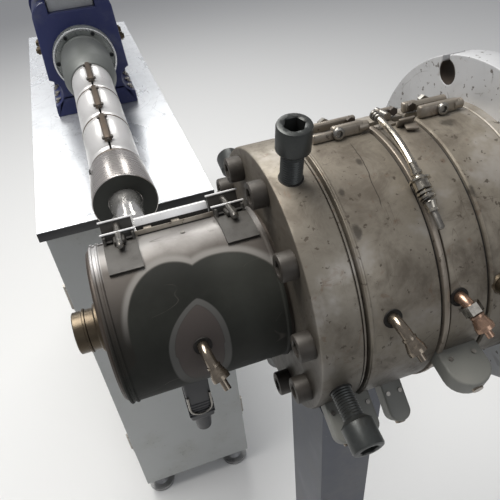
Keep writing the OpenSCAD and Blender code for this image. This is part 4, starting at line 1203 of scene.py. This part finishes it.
def makeBarrel():
    p = barrel
    r, tubeR, split = p["bandR"], p["tubeR"], p["split"]
    with piece("barrelTube", "boreDark", "bright_steel", "barrel") as bm:
        end = span("barrel_collar", "y")[0]
        lathe(bm, barrelAxis, [(capBack, 0), (capBack, tubeR), (end, tubeR), (end, 0)], steps=64)
    for letter, node in zip("ABC", p["nodes"]):
        low, high, _ = span(node, "y")
        outline = [(low, p["bandInnerR"]), (low, r - 1), (low + 1, r)]
        for bead in (low + p["beadStation"], high - p["beadStation"]):
            outline += [(bead - 1, r), (bead, r + p["bead"]), (bead + 1, r)]
        outline += [(high - 1, r), (high, r - 1), (high, p["bandInnerR"])]
        with piece("barrelBand" + letter, "brightSteel", "bright_steel", node) as bm:
            lathe(bm, barrelAxis, outline, split / 2, 360 - split, 110)
        with piece("barrelJoint" + letter, "jointBrown", "bright_steel") as bm:
            lathe(bm, barrelAxis, [(low - 1.4, 31.2), (low - 1.4, r - 0.4), (low + 0.7, r + 0.4),
                                   (low + 1.4, r + 0.3), (low + 1.4, 33), (low - 0.2, 31.2)], steps=110)


barrelRail = {"width": 11, "height": 8, "share": 0.72, "shift": 8, "pin": (-8, 8, 1.8, 16),
              "pinNuts": ((-5, -7.4, 3, 6), (5, 7.4, 3, 6)), "endPin": (0, 4, 2.4, 20)}


def makeBarrelRails():
    # A slim folded bar along each band with a cross pin at both ends. The bars are finished first
    p = barrelRail
    foot = barrel["bandR"]
    level = foot + p["height"] / 2
    with piece("barrelRailPins", "screwBrown", "clamp_steel") as pins, \
            piece("barrelRails", "railSteel", "clamp_steel", "barrel_band_clamps") as bars:
        for node in barrel["nodes"]:
            low, high, mid = span(node, "y")
            length, mid = (high - low) * p["share"], mid + p["shift"]
            block(bars, (feedX, mid, level), (p["width"] - 3, length, p["height"]), 1.6)
            block(bars, (feedX, mid, foot + 0.9), (p["width"], length * 0.94, 1.8), 0.4, 1)
            for y in (mid - length * 0.44, mid + length * 0.4):
                stack(pins, Axis((feedX, y, level + 0.8), right), p["pin"], *p["pinNuts"])
            stack(pins, Axis((feedX, mid - length / 2, level), ahead), p["endPin"])


collar = {
    # station and radius, from the collar's front and from its back
    "front": ((0, 31), (0, 39), (2, 41), (28, 48), (32, 50)),
    "back": ((-14, 50), (-12, 47), (-7, 47), (-5, 50), (0, 50), (0, 31)),
}
dish = {
    "rimR": 65,
    "ringR": 60,
    "innerR": 44,
    # depth and both radii
    "brightRings": ((-0.1, 61.2, 64.6), (4.6, 57.6, 59.4)),
    "boltCount": 6,
    "boltCircle": 55.5,
    "boltTurn": 30,
    "head": (4, 4, 2.4, 3, 0.6),
}


def makeDish():
    # The collar and the round flange behind it
    low, high, _ = span("barrel_collar", "y")
    with piece("barrelCollar", "collarPaint", "dark_steel", "barrel_collar") as bm:
        outline = [(low + station, radius) for station, radius in collar["front"]]
        outline += [(high + station, radius) for station, radius in collar["back"]]
        lathe(bm, barrelAxis, outline, steps=96)
    p = dish
    front, back, _ = span("barrel_flange", "y")
    ring, rim, inner = p["ringR"], p["rimR"], p["innerR"]
    # depth behind the front, and radius
    profile = ((5, inner), (5, ring - 0.6), (3.2, ring), (3.2, ring + 1.6), (1.4, ring + 2.2), (0, ring + 2.8),
               (0, rim - 1), (1, rim), (8, rim), (9, rim - 2), (12, rim - 2), (13, rim))
    with piece("barrelDish", "dishPaint", "grey_green_paint", "barrel_flange") as bm:
        outline = [(front + depth, radius) for depth, radius in profile] + [(back, rim), (back, inner)]
        lathe(bm, barrelAxis, outline, steps=120)
    # Raised rings in a near-white tone: painted highlights on the dish's ring edges
    with piece("dishRingHighlights", "ringHighlightSteel", "grey_green_paint") as bm:
        for depth, inside, outside in p["brightRings"]:
            y = front + depth
            lathe(bm, barrelAxis, [(y + 1, inside), (y, inside + 0.2), (y - 0.4, (inside + outside) / 2),
                                   (y, outside - 0.2), (y + 1, outside)], steps=120)
    with piece("dishBolts", "blackBolt", "grey_green_paint") as bm:
        for k in range(p["boltCount"]):
            spot = barrelAxis.point(front + 5, p["boltCircle"], p["boltTurn"] + k * 360 / p["boltCount"])
            socketHead(bm, turned(spot, 90, "X"), *p["head"])


makeCap()
makeBarrel()
makeBarrelRails()
makeDish()
print("side extruder made")

plateTrim = {"thickness": 2.4, "drop": 5, "edge": 0.6}


def makePlateTrim():
    # A black rubber strip along the front edge of the top plate
    p = plateTrim
    low, high = nodeBox("cabinet_top")
    middle, size = (low + high) / 2, high - low
    with piece("plateTrim", "blackPaint", "plate_steel") as bm:
        block(bm, (middle.x, low.y - 0.2, middle.z + 0.2 - p["drop"] / 2),
              (size.x + 0.6, p["thickness"], size.z + p["drop"]), p["edge"])


makePlateTrim()
print("drive and cabinet dressed")


# Fittings of the drive side: heads as radius and height, rods as in stack

gearboxTrim = {
    "wall": 12,
    "flange": 14,
    "head": (5, 6),
    "sideLevels": (-105, -30, 40),
    "topSpots": ((-62, 100), (62, 100)),
    "glassLevel": -20,
    "glassRim": (-1, 4, 15, 40, 14),
    "glass": (3, 4.6, 10, 36, 9.4),
    "drainDrop": 72,
    "drain": ((-1, 2, 12, 36), (0, 8, 9, 6)),
    "ventLevel": 122,
    "vent": ((0, 6, 8, 6), (5, 12, 11, 32, 9)),
}


def makeGearboxFittings():
    p = gearboxTrim
    low, high = nodeBox("gearbox")
    half, middle = (high.x - low.x) / 2 - p["wall"], (low.y + high.y) / 2
    spots = [(sign * (half + 5.6), z) for sign in (-1, 1) for z in p["sideLevels"]] + [*p["topSpots"]]
    with piece("gearboxBolts", "boltZinc", "blue_paint") as bm:
        for y, along in ((low.y + p["flange"], behind), (high.y - p["flange"], ahead)):
            hexHeads(bm, [(feedX + x, y, z) for x, z in spots], along, *p["head"])
    walls = [Axis((feedX + along.x * half, middle, p["glassLevel"]), along) for along in (left, right)]
    with piece("gearboxFittings", "brassTube", "blue_paint") as bm:
        for wall in walls:
            stack(bm, wall, p["glassRim"])
            stack(bm, Axis(wall.origin - up * p["drainDrop"], wall.along), *p["drain"])
        stack(bm, Axis((feedX, middle, p["ventLevel"]), up), *p["vent"])
    with piece("sightGlass", "capFaceBlack", "blue_paint") as bm:
        for wall in walls:
            stack(bm, wall, p["glass"])


housingTrim = {
    "inset": 10,
    "shares": (0.16, 0.5, 0.84),
    "footLevel": -93,
    "head": (6.4, 8),
    "supportX": 31,
    "supportInset": (8, 10),
    "supportHead": (5.4, 7),
    "portInset": 34,
    "portLevel": 18,
    "port": ((-3, 3, 12, 32), (0, 9, 9, 6), (9, 12, 5.5, 24)),
}


def makeHousingFittings():
    p = housingTrim
    low, high = nodeBox("feed_housing")
    supportLow, supportHigh = nodeBox("barrel_support")
    half, inset, rise = (high.x - low.x) / 2 - p["inset"], *p["supportInset"]
    with piece("housingBolts", "boltZinc", "blue_paint") as bm:
        hexHeads(bm, [(feedX + x, low.y + share * (high.y - low.y), p["footLevel"])
                      for x in (-half, half) for share in p["shares"]], up, *p["head"])
        hexHeads(bm, [(feedX + x, y, supportLow.z + rise) for x in (-p["supportX"], p["supportX"])
                      for y in (supportLow.y + inset, supportHigh.y - inset)], up, *p["supportHead"])
    with piece("coolingPorts", "brassTube", "blue_paint") as bm:
        for along in (left, right):
            for y in (low.y + p["portInset"], high.y - p["portInset"]):
                stack(bm, Axis((feedX + along.x * (half + 2), y, p["portLevel"]), along), *p["port"])


motorTrim = {
    "grilleRadii": (20, 31, 42, 53, 64),
    "grilleWidth": 5,
    "boxScrews": ((-28, 28), (1176, 1260), (3.6, 4)),     # x, y and head
    "flangeScrews": (74, (50, 130, 230, 310), (6, 7)),      # circle, turns and head
    "plateSpot": (-35.4, 1218, -17),
    "plateSize": (1.6, 46, 20),
    "glands": (1196, 1240),
    "gland": ((-1, 7, 10, 6), (7, 13, 8, 28, 6.4)),
}


def makeMotorFittings():
    p = motorTrim
    low, high = nodeBox("motor")
    with piece("cowlGrille", "capFaceBlack", "motor_paint") as bm:
        for radius in p["grilleRadii"]:
            lathe(bm, barrelAxis, sleeve(high.y - 1, high.y + 0.7, radius, radius + p["grilleWidth"]), steps=72)
    with piece("motorScrews", "boltZinc", "motor_paint") as bm:
        xs, ys, head = p["boxScrews"]
        hexHeads(bm, [(feedX + x, y, high.z) for x in xs for y in ys], up, *head)
        circleR, turns, head = p["flangeScrews"]
        hexHeads(bm, [barrelAxis.point(low.y + 24, circleR, turn) for turn in turns], behind, *head)
    with piece("motorPlate", "brightSteel", "motor_paint") as bm:
        block(bm, Vector(p["plateSpot"]) + Vector((feedX, 0, high.z)), p["plateSize"], 0.3, 1)
    with piece("cableGlands", "blackPaint", "motor_paint") as bm:
        for y in p["glands"]:
            stack(bm, Axis((feedX + 35, y, high.z - 20), right), *p["gland"])


hopperTrim = {
    "gateLevels": (134, 127),
    "gateRod": (74, 92, 4, 24),
    "knob": ((90, 96, 6, 32, 10), (96, 106, 10, 32, 7)),
    "boltX": 46,
    "boltLevel": 137,
    "head": (4.6, 6),
    "handleY": 45,
    # half width and height over the lid
    "handle": ((-60, -2), (-60, 8), (-50, 16), (50, 16), (60, 8), (60, -2)),
    "handleR": 4,
}


def makeHopperFittings():
    p = hopperTrim
    low, high = nodeBox("hopper")
    middle, (collarLevel, gateLevel), reach = (low.y + high.y) / 2, p["gateLevels"], p["boltX"]
    slide = Axis((feedX, middle, gateLevel), left)
    with piece("hopperGate", "hopperSheet", "hopper_steel") as bm:
        block(bm, (feedX, middle, collarLevel), (108, 108, 6), 0.8)
        block(bm, slide.point(56), (40, 60, 3), 0.6)
        stack(bm, slide, p["gateRod"])
    with piece("gateKnob", "blackPaint", "hopper_steel") as bm:
        stack(bm, slide, *p["knob"])
    with piece("gateBolts", "boltZinc", "hopper_steel") as bm:
        spots = [(feedX + x, middle + y, p["boltLevel"]) for x in (-reach, reach) for y in (-reach, 0, reach)]
        hexHeads(bm, spots, up, *p["head"])
    with piece("lidHandles", "footZinc", "hopper_steel") as bm:
        for y in (middle - p["handleY"], middle + p["handleY"]):
            tube(bm, [(feedX + x, y, high.z + z) for x, z in p["handle"]], p["handleR"])


doorTrim = {
    "hingeLength": 60,
    "hingeR": 5,
    "hingeLevels": (110, -170),     # over the doors' foot and under their top
    "louvres": 7,
    "louvreSize": (1.6, 190, 5),
    "louvreLevel": 90,
    "louvreSpacing": 16,
    "lock": (-1, 3, 11, 36, 10),
    "lockInset": 32,
}


def makeDoorFittings():
    # The hinges are finished first, then the louvres and the locks
    p = doorTrim
    low, high = nodeBox("cabinet_doors")
    cabinetLow, cabinetHigh, _ = span("cabinet", "x")
    half = (cabinetHigh - cabinetLow) / 2 + 3
    quarter = (high.y - low.y - 30) / 4
    lockY, length = 2 * quarter - p["lockInset"], p["hingeLength"]
    lockLevel = low.z + (high.z - low.z) * 0.55 - 30
    with piece("doorLocks", "boltZinc", "cabinet_paint") as locks, \
            piece("doorLouvres", "boreDark", "cabinet_paint") as slots, \
            piece("doorHinges", "boltZinc", "cabinet_paint") as hinges:
        for along in (left, right):
            wall = feedX + along.x * half
            for y in (low.y + 3, high.y - 3):
                for z in (low.z + p["hingeLevels"][0], high.z + p["hingeLevels"][1]):
                    stack(hinges, Axis((wall + along.x * 2, y, z), up), (0, length, p["hingeR"], 24))
                    block(hinges, (wall, y, z + length / 2), (2.4, 26, length), 0.5, 1)
            for y in (low.y + quarter, high.y - quarter):
                for k in range(p["louvres"]):
                    level = low.z + p["louvreLevel"] + k * p["louvreSpacing"]
                    block(slots, (wall, y, level), p["louvreSize"], 0.6, 1)
            for y in (low.y + lockY, high.y - lockY):
                line = Axis((wall, y, lockLevel), along)
                stack(locks, line, p["lock"])
                block(locks, line.point(3.4), (1.4, 2.4, 9))


standTrim = {"inset": 28, "level": 15, "head": (13, 12), "stud": (0, 24, 7, 28)}


def makeStandFittings():
    p = standTrim
    low, high = nodeBox("die_stand")
    spots = [(x, y, floorLevel + p["level"]) for x in (low.x + p["inset"], high.x - p["inset"])
             for y in (low.y + p["inset"], high.y - p["inset"])]
    with piece("standBolts", "boltZinc", "blue_paint") as bm:
        hexHeads(bm, spots, up, *p["head"])
        for spot in spots:
            stack(bm, Axis(spot, up), p["stud"])


makeGearboxFittings()
makeHousingFittings()
makeMotorFittings()
makeHopperFittings()
makeDoorFittings()
makeStandFittings()
print("fittings of the drive side made")


# Stage, light and camera, in metres

stage = {
    "floorTone": (0.80, 0.80, 0.79, 1),
    "floorSize": 12,
    "floorDrop": 0.0005,
    "worldTone": (0.92, 0.94, 1, 1),
    "worldStrength": 0.30,
}
# lamp: spot, target, size, power and tone
lamps = {
    "keyLamp": ((-0.9, 0.7, 2.1), (-0.2, 0.1, 0), (1.8, 1.2), 75, (1, 0.98, 0.95)),
    "fillLamp": ((0.6, -2.4, 1.2), (-0.2, 0, 0), (1.6, 1.6), 10, (0.93, 0.96, 1)),
    "backLamp": ((-0.3, 3.4, 1.95), (-0.3, 0.4, -0.1), (2.6, 1.1), 54, (1, 1, 0.98)),
}
view = {"spot": (-0.3804, -0.3903, 0.3838), "azimuth": 15.14, "down": 40.0, "roll": -5.73, "lens": 38.02}


def makeStage():
    p = stage
    bm = bmesh.new()
    bmesh.ops.create_grid(bm, x_segments=1, y_segments=1, size=p["floorSize"])
    bmesh.ops.translate(bm, verts=bm.verts, vec=(0, 0, floorLevel * metre - p["floorDrop"]))
    mesh = bpy.data.meshes.new("floor")
    bm.to_mesh(mesh)
    bm.free()
    floor = bpy.data.objects.new("floor", mesh)
    scene.collection.objects.link(floor)
    material = bpy.data.materials.new("floorPaint")
    material.use_nodes = True
    shader = material.node_tree.nodes["Principled BSDF"]
    shader.inputs["Base Color"].default_value = p["floorTone"]
    shader.inputs["Roughness"].default_value = 0.8
    mesh.materials.append(material)
    world = bpy.data.worlds.new("studio")
    world.use_nodes = True
    background = world.node_tree.nodes["Background"]
    background.inputs["Color"].default_value = p["worldTone"]
    background.inputs["Strength"].default_value = p["worldStrength"]
    scene.world = world


def addLamp(name, spot, target, size, power, tone):
    lamp = bpy.data.lights.new(name, "AREA")
    lamp.shape = "RECTANGLE"
    lamp.size, lamp.size_y = size
    lamp.energy = power
    lamp.color = tone
    holder = bpy.data.objects.new(name, lamp)
    holder.location = spot
    holder.rotation_euler = (Vector(target) - Vector(spot)).to_track_quat("-Z", "Y").to_euler()
    scene.collection.objects.link(holder)


def makeCamera():
    azimuth, down, roll = (math.radians(view[key]) for key in ("azimuth", "down", "roll"))
    forward = Vector((math.sin(azimuth) * math.cos(down), math.cos(azimuth) * math.cos(down), -math.sin(down)))
    level = Vector((math.cos(azimuth), -math.sin(azimuth), 0))
    above = level.cross(forward)
    rolledRight = level * math.cos(roll) + above * math.sin(roll)
    rolledUp = above * math.cos(roll) - level * math.sin(roll)
    lens = bpy.data.cameras.new("photoCamera")
    lens.lens = view["lens"]
    lens.sensor_width = 36
    lens.clip_start = 0.02
    holder = bpy.data.objects.new("photoCamera", lens)
    pose = Matrix((rolledRight, rolledUp, -forward)).transposed().to_4x4()
    pose.translation = Vector(view["spot"])
    holder.matrix_world = pose
    scene.collection.objects.link(holder)
    scene.camera = holder


makeStage()
for name, values in lamps.items():
    addLamp(name, *values)
makeCamera()
scene.view_settings.view_transform = "Standard"
print("stage ready")
